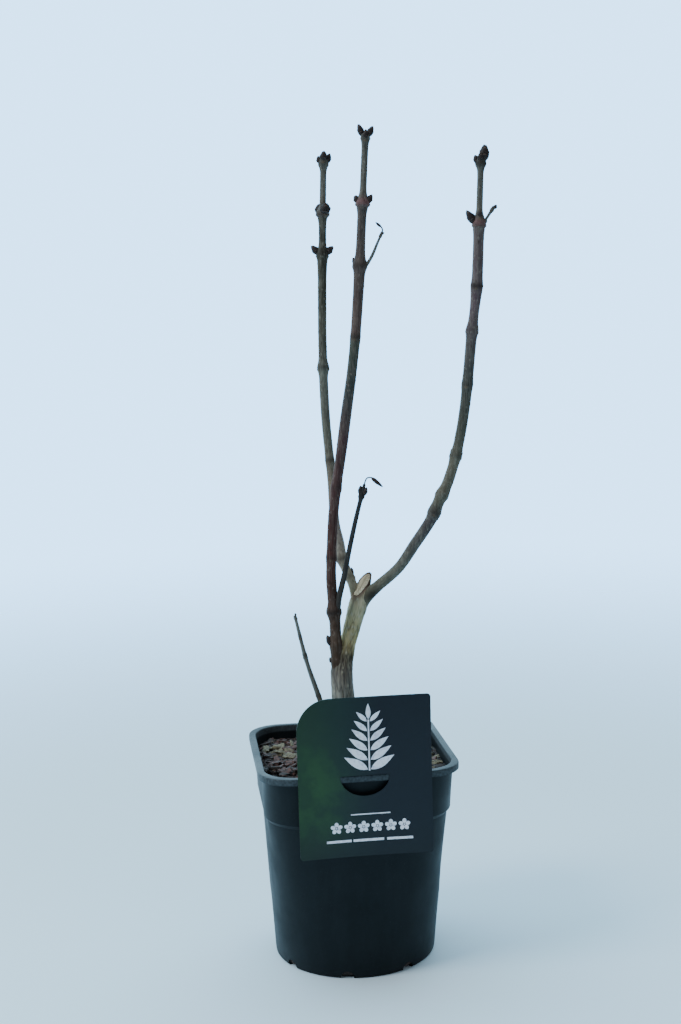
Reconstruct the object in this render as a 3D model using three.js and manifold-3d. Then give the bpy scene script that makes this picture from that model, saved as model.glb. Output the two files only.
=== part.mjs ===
// A young lilac in winter, without leaves: one short trunk, a leader and two boughs, the
// bare shoots that end them, and the square-rimmed nursery pot that it grows in.
// Millimetres, +Z up. The origin is the centre of the pot's flat underside, and the side
// of the pot that carries the label faces -Y.

import * as THREE from 'three';
import { mergeVertices } from 'three/addons/utils/BufferGeometryUtils.js';
import Module from 'manifold-3d';

const wasm = await Module();
wasm.setup();

// ---- driving dimensions ---------------------------------------------------------------

const DEGREE = Math.PI / 180;
const GAP = 0.3;                    // clearance between neighbours that touch
const SEED = 11;                    // starts the random sizes of buds and crumbs

const POT = {
  height: 193.5,
  turn: 7 * DEGREE,                 // the square rim stands turned about the pot's axis
  baseRadius: 75,                   // round at the foot
  rimHalf: 90.5,                    // square with round corners at the rim
  rimCorner: 31,
  rimEdge: 0.8,                     // chamfer round the lip
  wall: 1.6,
  floor: 2.6,
  footChamfer: 2.2,
  lipWidth: 4.5,                    // the flat lip round the top, and the skirt under it
  lipThickness: 1.8,
  lipDrop: 6,
  shoulderHeight: 144,              // the wall steps out here so that pots nest
  shoulderRise: 4,
  shoulderHalf: 82.2,
  shoulderStep: 2.6,
  drains: 8,                        // arched holes through the foot of the wall
  drainWidth: 12,
  drainDepth: 12,
  drainTurn: -96 * DEGREE,
  segments: 64,
};

const SOIL = {
  level: 180,
  shrink: 0.9,                      // the compost has drawn back this far from the wall
  crumb: 4.5,                       // height of the lumps of bark in the compost
  calm: 28,                         // no lumps this close to the trunk
  sunk: 0.3,                        // this share of a lump's height lies under the level
  rings: 7,
};

const LABEL = {
  width: 118,
  bottom: 121,
  top: 264,
  aside: 1.3,                       // sideways from the middle of the rim's front edge
  thickness: 0.8,
  shoulderCorner: 29,               // the big round corner at the top left
  corner: 3,
  tongueWidth: 44,                  // die-cut tongue that hooks over the rim
  tongueLength: 18.5,
  bridgeShare: 0.8,                 // width of the tongue over the rim, and of its end
  endShare: 0.7,
};

// Limbs: points on the centre line, girth as [height, diameter], and joints, where an
// opposite pair of buds swells the wood. facing is the direction of the pair, in degrees
// from +X, and bud is the length of each, or 0 for a joint with bare scars.
const TRUNK = {
  path: [[-3, 0, 168], [-3.2, 0, 192], [-5, 0, 241], [-6.4, 0, 266], [-5.9, 1.5, 288]],
  girth: [[168, 33], [184, 28], [198, 23.8], [222, 21.4], [262, 19.8], [284, 23]],
  joints: [{ height: 209, swell: 1.2, facing: 70, bud: 0 }],
  sides: 14,
  top: 284,                         // flat on top, where the limbs part
  flare: { lobes: 4, depth: 0.09, reach: 26 },    // a lobed root flare that fades upwards
};

const LEADER = {
  path: [
    [-10.6, -1, 272], [-12.3, -4, 358], [-9, -6.5, 414], [1.8, -11, 484],
    [13.5, -15.5, 560], [19, -18, 617], [24, -24, 685.5],
  ],
  girth: [[276, 9.6], [345, 7.4], [400, 8.5], [485, 8.8], [560, 8.5], [625, 8], [660, 7], [686, 7.3]],
  joints: [
    { height: 289, swell: 0.8, facing: 190, bud: 13, single: true },
    { height: 331, swell: 3.8, facing: 10, bud: 0 },
    { height: 372, swell: 1.3, facing: 100, bud: 0 },
    { height: 437, swell: 1, facing: 15, bud: 0 },
    { height: 549, swell: 1.2, facing: 95, bud: 3.5 },
    { height: 634, swell: 3.6, facing: 185, bud: 7, single: true },
  ],
};

const FORK_LIMB = {
  path: [[0.4, 4, 272], [1.8, 6, 294], [6.4, 8, 309], [11.2, 9, 325], [15, 10, 337], [19, 10.5, 356]],
  girth: [[272, 14.5], [292, 14.6], [308, 16], [325, 17.8], [336, 16.8], [346, 13.4], [356, 12]],
  joints: [],
  cutPoint: [17.5, 7, 344.4],       // the pruned stub: one slanting cut
  cutNormal: [-0.5, -0.55, 0.67],
};

const LEFT_BOUGH = {
  path: [
    [12, 10, 320], [3.4, 15.5, 357.5], [-7.9, 22, 400], [-9.9, 28, 440],
    [-14.4, 37, 508], [-14.8, 44, 575], [-11.6, 54.5, 683],
  ],
  girth: [[320, 10], [345, 8], [395, 8.2], [440, 7.4], [555, 7.3], [630, 7.3], [662, 5.9], [683, 6.1]],
  joints: [
    { height: 355, swell: 0.8, facing: 60, bud: 8, single: true },
    { height: 372, swell: 1.6, facing: 0, bud: 0 },
    { height: 458, swell: 0.8, facing: 90, bud: 0 },
    { height: 544, swell: 1.5, facing: 5, bud: 3.5 },
    { height: 648, swell: 3, facing: 0, bud: 11, spread: 42 },
  ],
};

const RIGHT_BOUGH_LOWER = {
  path: [
    [16, 9, 330], [30.5, 3, 345], [50, -2, 361.5], [63.5, -6, 382], [79.5, -10, 406.5],
    [85.6, -12, 421],
  ],
  girth: [[330, 13], [346, 10.4], [363, 9.4], [384, 9.2], [407, 9.6], [422, 9.8]],
  joints: [{ height: 413, swell: 2.8, facing: 90, bud: 4 }],
};

const RIGHT_BOUGH_UPPER = {
  path: [
    [85.6, -12, 421], [95, -13.4, 442], [103.9, -15, 470], [111.6, -16.5, 507],
    [118, -19.5, 571], [123, -21, 613], [125.6, -23, 664],
  ],
  girth: [[421, 10], [436, 9.2], [470, 8.7], [507, 8.3], [570, 8.7], [604, 8.5], [640, 8], [664, 8.6]],
  joints: [
    { height: 429, swell: 2.6, facing: 0, bud: 0 },
    { height: 464, swell: 2, facing: 15, bud: 5 },
    { height: 527, swell: 1.3, facing: 105, bud: 3.5 },
    { height: 578, swell: 1.3, facing: 10, bud: 0 },
    { height: 614, swell: 1.5, facing: 100, bud: 3.5 },
  ],
};

// Shoots: the bare twigs beyond the limbs. Each grows from its foot to its tip with pairs
// of buds at its joints. A bud or side shoot leans out from the stem by spread degrees, and
// where a pair's bud has no length a side shoot takes its place.
const LEADER_TIP = {
  foot: [24, -24, 685.8],
  tip: [27.6, -25, 745],
  girth: [8, 5],
  joints: [
    { along: 4.5, swell: 4.4, facing: 0, buds: [11, 10], width: 5, spread: 30 },
    { along: 57, swell: 0.8, facing: 90, buds: [9, 8], width: 4, spread: 14 },
    { along: 58, swell: 1, facing: 0, buds: [13.5, 11], width: 3.9, spread: 27 },
  ],
};

const LEFT_TIP = {
  foot: [-11.6, 54.5, 683.3],
  tip: [-9.2, 55.5, 737],
  girth: [6.4, 5],
  joints: [
    { along: 4.5, swell: 4, facing: 90, buds: [11, 11], width: 6.8, spread: 20 },
    { along: 50, swell: 3.8, facing: 0, buds: [8, 11], width: 4.6, spread: 34 },
    { along: 51, swell: 1, facing: 90, buds: [9, 9], width: 6, spread: 14 },
  ],
};

const RIGHT_TIP = {
  foot: [125.6, -23, 664.3],
  tip: [128.2, -23, 724],
  girth: [9.2, 4.6],
  joints: [
    {
      along: 5,
      swell: 2.4,
      facing: 0,
      buds: [14.5, 0],
      width: 6.8,
      spread: 26,
      side: { length: 20, girth: [3.4, 2.2], bud: 5.5, spread: 28 },
    },
    { along: 9, swell: 0.8, facing: 90, buds: [6, 6], width: 3.4, spread: 24 },
    { along: 56, swell: 2.4, facing: 10, buds: [12, 14], width: 6.2, spread: 7 },
    { along: 57, swell: 0.8, facing: 100, buds: [9, 9], width: 5, spread: 12 },
  ],
};

// Thin side twigs. Each ends in the withered stalk of last summer's flowers.
const LEADER_SIDE_TWIG = {
  path: [[21.5, -19.5, 630], [30.2, -23, 641], [36.8, -28, 655], [41, -30, 663.6]],
  girth: [[630, 3.6], [641, 2.8], [664, 2.1]],
  joints: [{ height: 661, swell: 0.5, facing: 40, bud: 3, single: true }],
  stalk: {
    path: [[40.2, -29.6, 662], [40.6, -30, 665], [38.8, -30, 668.2], [35, -30, 671.4]],
    girth: [[660, 1.9]],
  },
  sides: 7,
  stride: 9,
};

const LOWER_TWIG = {
  path: [
    [-11, -3.2, 330], [-3, -8, 352], [2.6, -10, 375], [8.9, -13, 398], [16.2, -18, 430],
    [19.6, -19, 441],
  ],
  girth: [[330, 5], [346, 3.6], [430, 3.2], [444, 2.4]],
  joints: [{ height: 432, swell: 2, facing: 10, bud: 6.5, spread: 13 }],
  stalk: {
    path: [[18.8, -19, 439], [22, -20, 446.6], [26.6, -21, 447], [35.8, -22, 438.4]],
    girth: [[430, 2.3]],
  },
  sides: 7,
  stride: 9,
};

const BASAL_SHOOT = {
  path: [[-8, -1, 184], [-17.6, -3, 206], [-27, -4, 241], [-37.8, -5, 277], [-47.2, -6, 320]],
  girth: [[184, 5.6], [206, 4.4], [244, 3.7], [277, 3], [320, 1.8]],
  joints: [
    { height: 243, swell: 0.9, facing: 90, bud: 0 },
    { height: 282, swell: 0.5, facing: 0, bud: 3 },
  ],
  sides: 7,
  stride: 16,
};

const LIMB = {
  sides: 10,
  stride: 21,                       // distance between rings on a plain stretch
  closest: 1.6,                     // rings nearer to each other than this are left out
  jointReach: 5.5,                  // half the length of the swelling at a joint
  jointRings: [-1.5, -0.75, 0, 0.75, 1.5],        // rings at a swelling, as shares of that
};

const SHOOT = {
  sides: 8,
  thinBy: 0.3,                      // the foot tapers to the stem by this share of the length
  sideBudWidth: 3,
};

const BUD = {
  width: 0.5,                       // share of its length, where no width is given
  spread: 24,
  sink: 0.55,                       // rooted this far out from the centre of the wood
  outline: [[0, 0], [0.36, 0.04], [0.5, 0.34], [0.36, 0.7], [0, 1]],
  sides: 7,
};

const STALK = { sides: 6, stride: 3 };
const BLOCK = 200;                  // side of the blocks that make the flat cuts

const FINISHES = {
  pot: { color: 0x1d282d, roughness: 0.46 },
  soil: { color: 0x4a342a, roughness: 0.95 },
  label: { color: 0x1c3b33, roughness: 0.3 },
  trunk: { color: 0x6b6152, roughness: 0.85 },
  bark: { color: 0x5b4c3f, roughness: 0.7 },
  young: { color: 0x4c4339, roughness: 0.65 },
  olive: { color: 0x7d7352, roughness: 0.75 },
};

// ---- solids ---------------------------------------------------------------------------

function makeRandom(seed) {
  let state = seed;
  return () => {
    state = (state * 1664525 + 1013904223) % 4294967296;
    return state / 4294967296;
  };
}

/** A closed geometry as a solid: equal corners are merged and collapsed faces dropped. */
function solidOf(geometry) {
  const bare = geometry.clone();
  bare.deleteAttribute('normal');
  bare.deleteAttribute('uv');
  const merged = mergeVertices(bare, 1e-4);
  const index = merged.index.array;
  const faces = [];
  for (let i = 0; i < index.length; i += 3) {
    const [a, b, c] = index.slice(i, i + 3);
    if (a !== b && b !== c && c !== a) faces.push(a, b, c);
  }
  return new wasm.Manifold(new wasm.Mesh({
    numProp: 3,
    vertProperties: new Float32Array(merged.attributes.position.array),
    triVerts: new Uint32Array(faces),
  }));
}

function geometryOf(solid) {
  const mesh = solid.getMesh();
  const geometry = new THREE.BufferGeometry();
  geometry.setAttribute('position', new THREE.BufferAttribute(mesh.vertProperties, 3));
  geometry.setIndex(new THREE.BufferAttribute(mesh.triVerts, 1));
  geometry.computeVertexNormals();
  return geometry;
}

/** The largest body of a solid, without the scraps that a cut can leave. */
function mainBody(solid) {
  const bodies = solid.decompose();
  return bodies.reduce((best, body) => (body.volume() > best.volume() ? body : best));
}

/** What is left of a solid after its neighbours, grown by the gap, are cut from it. */
function clearOf(solid, ...grown) {
  return mainBody(grown.reduce((rest, cutter) => rest.subtract(cutter), solid));
}

/** The value at x of a curve that eases from one [x, value] pair to the next. */
function ease(pairs, x) {
  if (x <= pairs[0][0]) return pairs[0][1];
  for (let i = 1; i < pairs.length; i += 1) {
    const [x0, v0] = pairs[i - 1];
    const [x1, v1] = pairs[i];
    if (x <= x1) return THREE.MathUtils.lerp(v0, v1, THREE.MathUtils.smoothstep(x, x0, x1));
  }
  return pairs[pairs.length - 1][1];
}

// ---- limbs and shoots -----------------------------------------------------------------

class Limb {
  constructor({ path, girth, joints = [], sides = LIMB.sides, stride = LIMB.stride, flare = null }) {
    this.curve = new THREE.CatmullRomCurve3(path.map((point) => new THREE.Vector3(...point)));
    this.length = this.curve.getLength();
    this.girth = girth;
    this.sides = sides;
    this.stride = stride;
    this.flare = flare;
    this.joints = joints.map((joint) => ({ ...joint, along: this.alongAt(joint.height) }));
  }

  /** The distance along the limb at which its centre line first reaches a height. */
  alongAt(height) {
    const steps = 400;
    for (let i = 0; i <= steps; i += 1) {
      if (this.curve.getPointAt(i / steps).z >= height) return (i / steps) * this.length;
    }
    return this.length;
  }

  radiusAt(along, height) {
    const swelling = this.joints.reduce((sum, joint) => {
      const reach = (along - joint.along) / LIMB.jointReach;
      return sum + joint.swell * Math.exp(-reach * reach);
    }, 0);
    return (ease(this.girth, height) + swelling) / 2;
  }

  /** How far the root flare's lobes swell or narrow the section, as a share of it. */
  lobeAt(along, angle) {
    if (!this.flare) return 0;
    const { lobes, depth, reach } = this.flare;
    return depth * Math.cos(lobes * angle) * Math.exp(-along / reach);
  }

  /** Distances of the rings from the foot: evenly spaced, and closer at each joint. */
  rings() {
    const count = Math.max(3, Math.round(this.length / this.stride));
    const marks = Array.from({ length: count + 1 }, (_, i) => (i / count) * this.length);
    for (const { along } of this.joints) {
      for (const share of LIMB.jointRings) marks.push(along + share * LIMB.jointReach);
    }
    const inside = marks.filter((mark) => mark > 0 && mark < this.length).sort((a, b) => a - b);
    const spaced = inside.filter((mark, i) => mark - (inside[i - 1] ?? 0) > LIMB.closest);
    return [0, ...spaced.filter((mark) => this.length - mark > LIMB.closest), this.length];
  }

  /** The limb as a solid, a straight drum bent onto the centre line, grown by extra. */
  solid(extra = 0) {
    const rings = this.rings();
    const steps = rings.length - 1;
    const drum = new THREE.CylinderGeometry(1, 1, 1, this.sides, steps);
    const frames = rings.map((along) => this.frameAt(along));
    const position = drum.attributes.position;
    const vertex = new THREE.Vector3();
    for (let i = 0; i < position.count; i += 1) {
      const ring = Math.round((position.getY(i) + 0.5) * steps);
      const { centre, heading, across, over } = frames[ring];
      const angle = Math.atan2(position.getZ(i), position.getX(i));
      const onAxis = Math.hypot(position.getX(i), position.getZ(i)) < 0.5;
      const round = this.radiusAt(rings[ring], centre.z) * (1 + this.lobeAt(rings[ring], angle));
      const radius = onAxis ? 0 : round + extra;
      vertex.copy(centre)
        .addScaledVector(across, Math.cos(angle) * radius)
        .addScaledVector(over, Math.sin(angle) * radius)
        .addScaledVector(heading, ring === 0 ? -extra : 0)
        .addScaledVector(heading, ring === steps ? extra : 0);
      position.setXYZ(i, vertex.x, vertex.y, vertex.z);
    }
    return solidOf(drum);
  }

  frameAt(along) {
    const u = along / this.length;
    const centre = this.curve.getPointAt(u);
    const heading = this.curve.getTangentAt(u);
    const over = new THREE.Vector3(1, 0, 0).cross(heading).normalize();
    const across = heading.clone().cross(over);
    return { centre, heading, across, over };
  }

  /** The limb with its buds, each rooted in the wood at its joint. */
  budded(random) {
    let solid = this.solid();
    for (const joint of this.joints.filter(({ bud }) => bud > 0)) {
      for (const turn of joint.single ? [0] : [0, 180]) {
        const bud = this.budAt(joint, joint.facing + turn, {
          length: joint.bud * (0.9 + 0.2 * random()),
          width: joint.bud * BUD.width,
          spread: joint.spread ?? BUD.spread,
        });
        solid = solid.add(bud);
      }
    }
    return solid;
  }

  /** A place on the wood at a joint, and the direction of what grows from it. */
  axilAt(along, facing, spread) {
    const { centre, heading, across, over } = this.frameAt(along);
    const outward = across.clone().multiplyScalar(Math.cos(facing * DEGREE))
      .addScaledVector(over, Math.sin(facing * DEGREE));
    const point = centre.clone()
      .addScaledVector(outward, this.radiusAt(along, centre.z) * BUD.sink);
    const direction = heading.clone().multiplyScalar(Math.cos(spread * DEGREE))
      .addScaledVector(outward, Math.sin(spread * DEGREE));
    return { point, direction };
  }

  budAt(joint, facing, { length, width, spread }) {
    const { point, direction } = this.axilAt(joint.along, facing, spread);
    return budSolid(point, direction, length, width);
  }
}

/** A pointed winter bud, widest a third of the way up, as a lathed drop. */
function budSolid(point, direction, length, width) {
  const outline = BUD.outline.map(([across, up]) => new THREE.Vector2(across * width, up * length));
  const drop = new THREE.LatheGeometry(outline, BUD.sides);
  const turn = new THREE.Quaternion().setFromUnitVectors(new THREE.Vector3(0, 1, 0), direction);
  drop.applyQuaternion(turn);
  drop.translate(point.x, point.y, point.z);
  return solidOf(drop);
}

/** A shoot grown by the rule: a tapering stem, with a pair of buds or side shoots a joint. */
function growShoot(shoot, random) {
  const { foot, tip } = shoot;
  const [thick, thin] = shoot.girth;
  const middle = foot.map((value, axis) => (value + tip[axis]) / 2 + (axis < 2 ? random() - 0.5 : 0));
  const thinHeight = THREE.MathUtils.lerp(foot[2], tip[2], SHOOT.thinBy);
  const limb = new Limb({
    path: [foot, middle, tip],
    girth: [[foot[2], thick], [thinHeight, thin]],
    sides: SHOOT.sides,
  });
  limb.joints = shoot.joints;
  let solid = limb.solid();
  for (const joint of shoot.joints) {
    joint.buds.forEach((length, i) => {
      const facing = joint.facing + 180 * (1 - i) + 8 * (random() - 0.5);
      if (length > 0) {
        const width = joint.width * (0.95 + 0.1 * random());
        solid = solid.add(limb.budAt(joint, facing, { length, width, spread: joint.spread }));
      } else {
        solid = solid.add(growSideShoot(limb, joint, facing, random));
      }
    });
  }
  return mainBody(solid);
}

/** A short side shoot from an axil, which ends in one small bud. */
function growSideShoot(parent, joint, facing, random) {
  const { length, girth, bud, spread } = joint.side;
  const { point, direction } = parent.axilAt(joint.along, facing, spread);
  const tip = point.clone().addScaledVector(direction, length);
  const end = { along: length - 1.5, swell: 0.8, facing: 0, buds: [bud], spread: 0 };
  return growShoot({
    foot: point.toArray(),
    tip: tip.toArray(),
    girth,
    joints: [{ ...end, width: SHOOT.sideBudWidth }],
  }, random);
}

// ---- pot, soil and label --------------------------------------------------------------

/** How far out a square of half-width 1 reaches at an angle, with corners this round. */
function squareReach(angle, roundness) {
  const eighth = Math.PI / 4;
  const folded = eighth - Math.abs((((angle % (2 * eighth)) + 2 * eighth) % (2 * eighth)) - eighth);
  const [cos, sin] = [Math.cos(folded), Math.sin(folded)];
  const centre = 1 - roundness;
  if (sin / cos <= centre) return 1 / cos;
  return centre * (cos + sin) + Math.sqrt(roundness ** 2 - centre ** 2 * (cos - sin) ** 2);
}

/** A turned profile of [half-width, height] pairs, round at the foot and square at the rim. */
function potShape(profile) {
  const shape = new THREE.LatheGeometry(
    profile.map(([half, height]) => new THREE.Vector2(half, height)),
    POT.segments,
  );
  shape.rotateX(Math.PI / 2);
  const position = shape.attributes.position;
  for (let i = 0; i < position.count; i += 1) {
    const [x, y, z] = [position.getX(i), position.getY(i), position.getZ(i)];
    const share = THREE.MathUtils.clamp(z / (POT.height - POT.lipDrop), 0, 1);
    const roundness = THREE.MathUtils.lerp(1, POT.rimCorner / POT.rimHalf, share);
    const reach = squareReach(Math.atan2(y, x), roundness);
    position.setXYZ(i, x * reach, y * reach, z);
  }
  shape.rotateZ(POT.turn);
  return shape;
}

/** Corners of the wall's outside, from the foot to the rim, as [half-width, height]. */
function wallCorners() {
  const { baseRadius, shoulderHalf, shoulderHeight, shoulderRise, shoulderStep } = POT;
  return [
    [baseRadius, 0],
    [shoulderHalf, shoulderHeight],
    [shoulderHalf + shoulderStep, shoulderHeight + shoulderRise],
    [POT.rimHalf - POT.lipWidth, POT.height],
  ];
}

/** The wall's outside at a height, moved inwards. */
function wallAt(height, inwards = 0) {
  const corners = wallCorners();
  const next = Math.max(1, corners.findIndex((corner) => height <= corner[1]));
  const [[half0, height0], [half1, height1]] = [corners[next - 1], corners[next]];
  const share = (height - height0) / (height1 - height0);
  return [THREE.MathUtils.lerp(half0, half1, share) - inwards, height];
}

/** Heights between the foot and the rim at which the wall's section is drawn. */
function wallHeights() {
  const { shoulderHeight, shoulderRise } = POT;
  const lower = [1 / 3, 2 / 3, 1].map((share) => share * shoulderHeight);
  return [...lower, shoulderHeight + shoulderRise, SOIL.level];
}

function makePot() {
  const { baseRadius, footChamfer, rimHalf, rimEdge, height, lipThickness, lipDrop, wall } = POT;
  const outside = [footChamfer, ...wallHeights(), height - lipThickness];
  const inside = [POT.floor, ...wallHeights(), height];
  const profile = [
    [0, 0],
    [baseRadius - footChamfer, 0],
    ...outside.map((level) => wallAt(level)),
    [rimHalf - wall, height - lipThickness],
    [rimHalf - wall, height - lipDrop],
    [rimHalf, height - lipDrop],
    [rimHalf, height - rimEdge],
    [rimHalf - rimEdge, height],
    ...inside.reverse().map((level) => wallAt(level, wall)),
    [0, POT.floor],
  ];
  let solid = solidOf(potShape(profile));
  for (let i = 0; i < POT.drains; i += 1) {
    const arch = new THREE.CylinderGeometry(POT.drainWidth / 2, POT.drainWidth / 2, POT.drainDepth, 12);
    arch.rotateZ(Math.PI / 2);
    arch.translate(baseRadius, 0, 1);
    arch.rotateZ(POT.drainTurn + (i / POT.drains) * 2 * Math.PI);
    solid = solid.subtract(solidOf(arch));
  }
  return solid;
}

/** The compost fills the pot to its level, with a lumpy top that is calm at the trunk. */
function makeSoil(random) {
  const bottom = POT.floor + GAP;
  const sides = [bottom, ...wallHeights()].map((level) => wallAt(level, POT.wall + SOIL.shrink));
  const [edge] = wallAt(SOIL.level, POT.wall + SOIL.shrink);
  const inwards = Array.from({ length: SOIL.rings }, (_, i) => 1 - (i + 1) / SOIL.rings);
  const top = inwards.map((share) => [edge * share, SOIL.level]);
  const shape = potShape([[0, bottom], ...sides, ...top]);
  const merged = mergeVertices(shape.deleteAttribute('normal').deleteAttribute('uv'), 1e-4);
  const position = merged.attributes.position;
  const [trunkX, trunkY] = TRUNK.path[0];
  for (let i = 0; i < position.count; i += 1) {
    const out = Math.hypot(position.getX(i), position.getY(i));
    const fromTrunk = Math.hypot(position.getX(i) - trunkX, position.getY(i) - trunkY);
    const onTop = position.getZ(i) > SOIL.level - 0.01 && out < edge * 0.99;
    const lump = SOIL.crumb * (random() - SOIL.sunk);
    if (onTop && fromTrunk > SOIL.calm) position.setZ(i, SOIL.level + lump);
  }
  return solidOf(merged);
}

/** The card's outline, with one big round corner and the cut that frees its tongue. */
function cardShape(hinge) {
  const { width, bottom, top, shoulderCorner, corner, tongueWidth, tongueLength } = LABEL;
  const [left, right, height] = [-width / 2, width / 2, top - bottom];
  const quarter = Math.PI / 2;
  const card = new THREE.Shape();
  card.moveTo(left + corner, 0);
  card.lineTo(right - corner, 0);
  card.absarc(right - corner, corner, corner, -quarter, 0, false);
  card.lineTo(right, height - corner);
  card.absarc(right - corner, height - corner, corner, 0, quarter, false);
  card.lineTo(left + shoulderCorner, height);
  card.absarc(left + shoulderCorner, height - shoulderCorner, shoulderCorner, quarter, 2 * quarter, false);
  card.lineTo(left, corner);
  card.absarc(left + corner, corner, corner, 2 * quarter, 3 * quarter, false);
  const cut = new THREE.Path();
  cut.moveTo(-tongueWidth / 2, hinge);
  cut.absellipse(0, hinge, tongueWidth / 2, tongueLength, 2 * quarter, 4 * quarter, false);
  cut.lineTo(-tongueWidth / 2, hinge);
  card.holes.push(cut);
  return card;
}

/** The flat card in front of the rim, and its tongue, bent back over the rim and down. */
function makeLabel() {
  const { bottom, thickness, tongueWidth, tongueLength, bridgeShare, endShare } = LABEL;
  const face = -(POT.rimHalf + GAP);
  const seat = POT.height + GAP;
  const plate = new THREE.ExtrudeGeometry(cardShape(seat - bottom), {
    depth: thickness,
    bevelEnabled: false,
    curveSegments: 8,
  });
  plate.rotateX(Math.PI / 2);
  plate.translate(0, face, bottom);

  const over = POT.lipWidth + POT.wall + 3 * GAP;
  const bridge = new THREE.BoxGeometry(tongueWidth * bridgeShare, over + 2 * thickness, thickness);
  bridge.translate(0, face + over / 2, seat + thickness / 2);
  const hang = tongueLength - over;
  const end = new THREE.BoxGeometry(tongueWidth * endShare, thickness, hang);
  end.translate(0, face + over + thickness / 2, seat + thickness - hang / 2);
  const [card, ...tongue] = [plate, bridge, end].map((geometry) => {
    geometry.translate(LABEL.aside, 0, 0);
    geometry.rotateZ(POT.turn);
    return solidOf(geometry);
  });
  return tongue.reduce((whole, piece) => whole.add(piece), card);
}

// ---- the plant ------------------------------------------------------------------------

/** A block about the pot's axis whose underside or top lies at a height. */
function blockAt(height, side) {
  const block = new THREE.BoxGeometry(BLOCK, BLOCK, BLOCK);
  block.translate(0, 0, height + (side * BLOCK) / 2);
  return solidOf(block);
}

const below = (height) => blockAt(height, -1);
const above = (height) => blockAt(height, 1);

/** A thin side twig, with its buds and the withered stalk at its end. */
function makeTwig(twig, random) {
  const solid = new Limb(twig).budded(random);
  if (!twig.stalk) return solid;
  return solid.add(new Limb({ ...twig.stalk, ...STALK }).solid());
}

/** Everything on the open side of a slanting saw cut. */
function beyondCut(point, normal) {
  const block = new THREE.BoxGeometry(BLOCK, BLOCK, BLOCK);
  block.translate(0, 0, BLOCK / 2);
  const up = new THREE.Vector3(0, 0, 1);
  const facing = new THREE.Vector3(...normal).normalize();
  block.applyQuaternion(new THREE.Quaternion().setFromUnitVectors(up, facing));
  block.translate(...point);
  return solidOf(block);
}

function makePlant(random) {
  const trunk = new Limb(TRUNK);
  const leader = new Limb(LEADER);
  const forkLimb = new Limb(FORK_LIMB);
  const leftBough = new Limb(LEFT_BOUGH);
  const rightLower = new Limb(RIGHT_BOUGH_LOWER);
  const rightUpper = new Limb(RIGHT_BOUGH_UPPER);

  const grownTrunk = trunk.solid(GAP);
  const overTrunk = below(TRUNK.top + GAP);
  const grownLeader = leader.solid(GAP);
  const grownForkLimb = forkLimb.solid(GAP);
  const grownRightLower = rightLower.solid(GAP);
  const cut = beyondCut(FORK_LIMB.cutPoint, FORK_LIMB.cutNormal);

  return {
    trunk: clearOf(trunk.budded(random), below(SOIL.level + GAP), above(TRUNK.top)),
    leader: clearOf(leader.budded(random), overTrunk),
    fork_limb: clearOf(forkLimb.budded(random), cut, overTrunk, grownLeader),
    left_bough: clearOf(leftBough.budded(random), grownForkLimb, grownLeader),
    right_bough_lower: clearOf(rightLower.budded(random), grownForkLimb),
    right_bough_upper: clearOf(rightUpper.budded(random), grownRightLower),
    leader_tip: growShoot(LEADER_TIP, random),
    left_tip: growShoot(LEFT_TIP, random),
    right_tip: growShoot(RIGHT_TIP, random),
    leader_side_twig: clearOf(makeTwig(LEADER_SIDE_TWIG, random), grownLeader),
    lower_twig: clearOf(makeTwig(LOWER_TWIG, random), grownLeader),
    basal_shoot: clearOf(makeTwig(BASAL_SHOOT, random), grownTrunk),
  };
}

// ---- the part -------------------------------------------------------------------------

const FINISH_OF = {
  pot: 'pot',
  soil: 'soil',
  label: 'label',
  trunk: 'trunk',
  leader: 'bark',
  fork_limb: 'olive',
  left_bough: 'olive',
  right_bough_lower: 'bark',
  right_bough_upper: 'bark',
};

const random = makeRandom(SEED);
const solids = {
  pot: makePot(),
  soil: makeSoil(random),
  label: makeLabel(),
  ...makePlant(random),
};

const lilac = new THREE.Group();
for (const [name, solid] of Object.entries(solids)) {
  const finish = FINISHES[FINISH_OF[name] ?? 'young'];
  const mesh = new THREE.Mesh(geometryOf(solid), new THREE.MeshStandardMaterial(finish));
  mesh.name = name;
  lilac.add(mesh);
}

export default lilac;
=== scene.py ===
"""A young lilac in winter, without leaves, in the square-rimmed nursery pot that it grows in.

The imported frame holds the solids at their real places. This script dresses them: bark with
its relief, winter buds made of overlapping scales, the moulded pot, the bark compost and the
printed card that hooks over the rim. Sizes are in millimetres while a mesh is being shaped,
and a finished piece is in metres, with its place in its mesh.
"""

import logging
import math
import random
from dataclasses import dataclass, field, replace
from enum import Enum
from functools import partial
from typing import Any, Callable, Iterable, Sequence

import bmesh
import bpy
import numpy as np
from bmesh.types import BMEdge, BMesh, BMVert
from bpy.types import Node, NodeSocket, NodeTree
from mathutils import Matrix, Vector, noise


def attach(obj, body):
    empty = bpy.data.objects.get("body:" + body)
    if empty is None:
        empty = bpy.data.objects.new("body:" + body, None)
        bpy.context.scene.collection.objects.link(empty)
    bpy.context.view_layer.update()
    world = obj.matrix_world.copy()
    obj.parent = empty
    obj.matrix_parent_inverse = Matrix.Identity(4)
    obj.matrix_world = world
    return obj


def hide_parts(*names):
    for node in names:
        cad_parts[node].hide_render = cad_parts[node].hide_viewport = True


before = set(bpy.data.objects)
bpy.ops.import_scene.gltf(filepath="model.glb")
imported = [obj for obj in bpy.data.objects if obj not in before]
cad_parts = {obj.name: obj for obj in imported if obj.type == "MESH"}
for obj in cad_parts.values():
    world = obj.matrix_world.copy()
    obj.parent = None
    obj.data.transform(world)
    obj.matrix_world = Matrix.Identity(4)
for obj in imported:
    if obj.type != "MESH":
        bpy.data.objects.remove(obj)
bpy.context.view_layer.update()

log = logging.getLogger("lilac")

MM = 0.001
BODY = "root"
# Points closer than this many millimetres are one.
WELD = 0.001
Pair = tuple[float, float]
Point = tuple[float, float, float]
Array = np.ndarray
Adder = Callable[..., Node]
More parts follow.
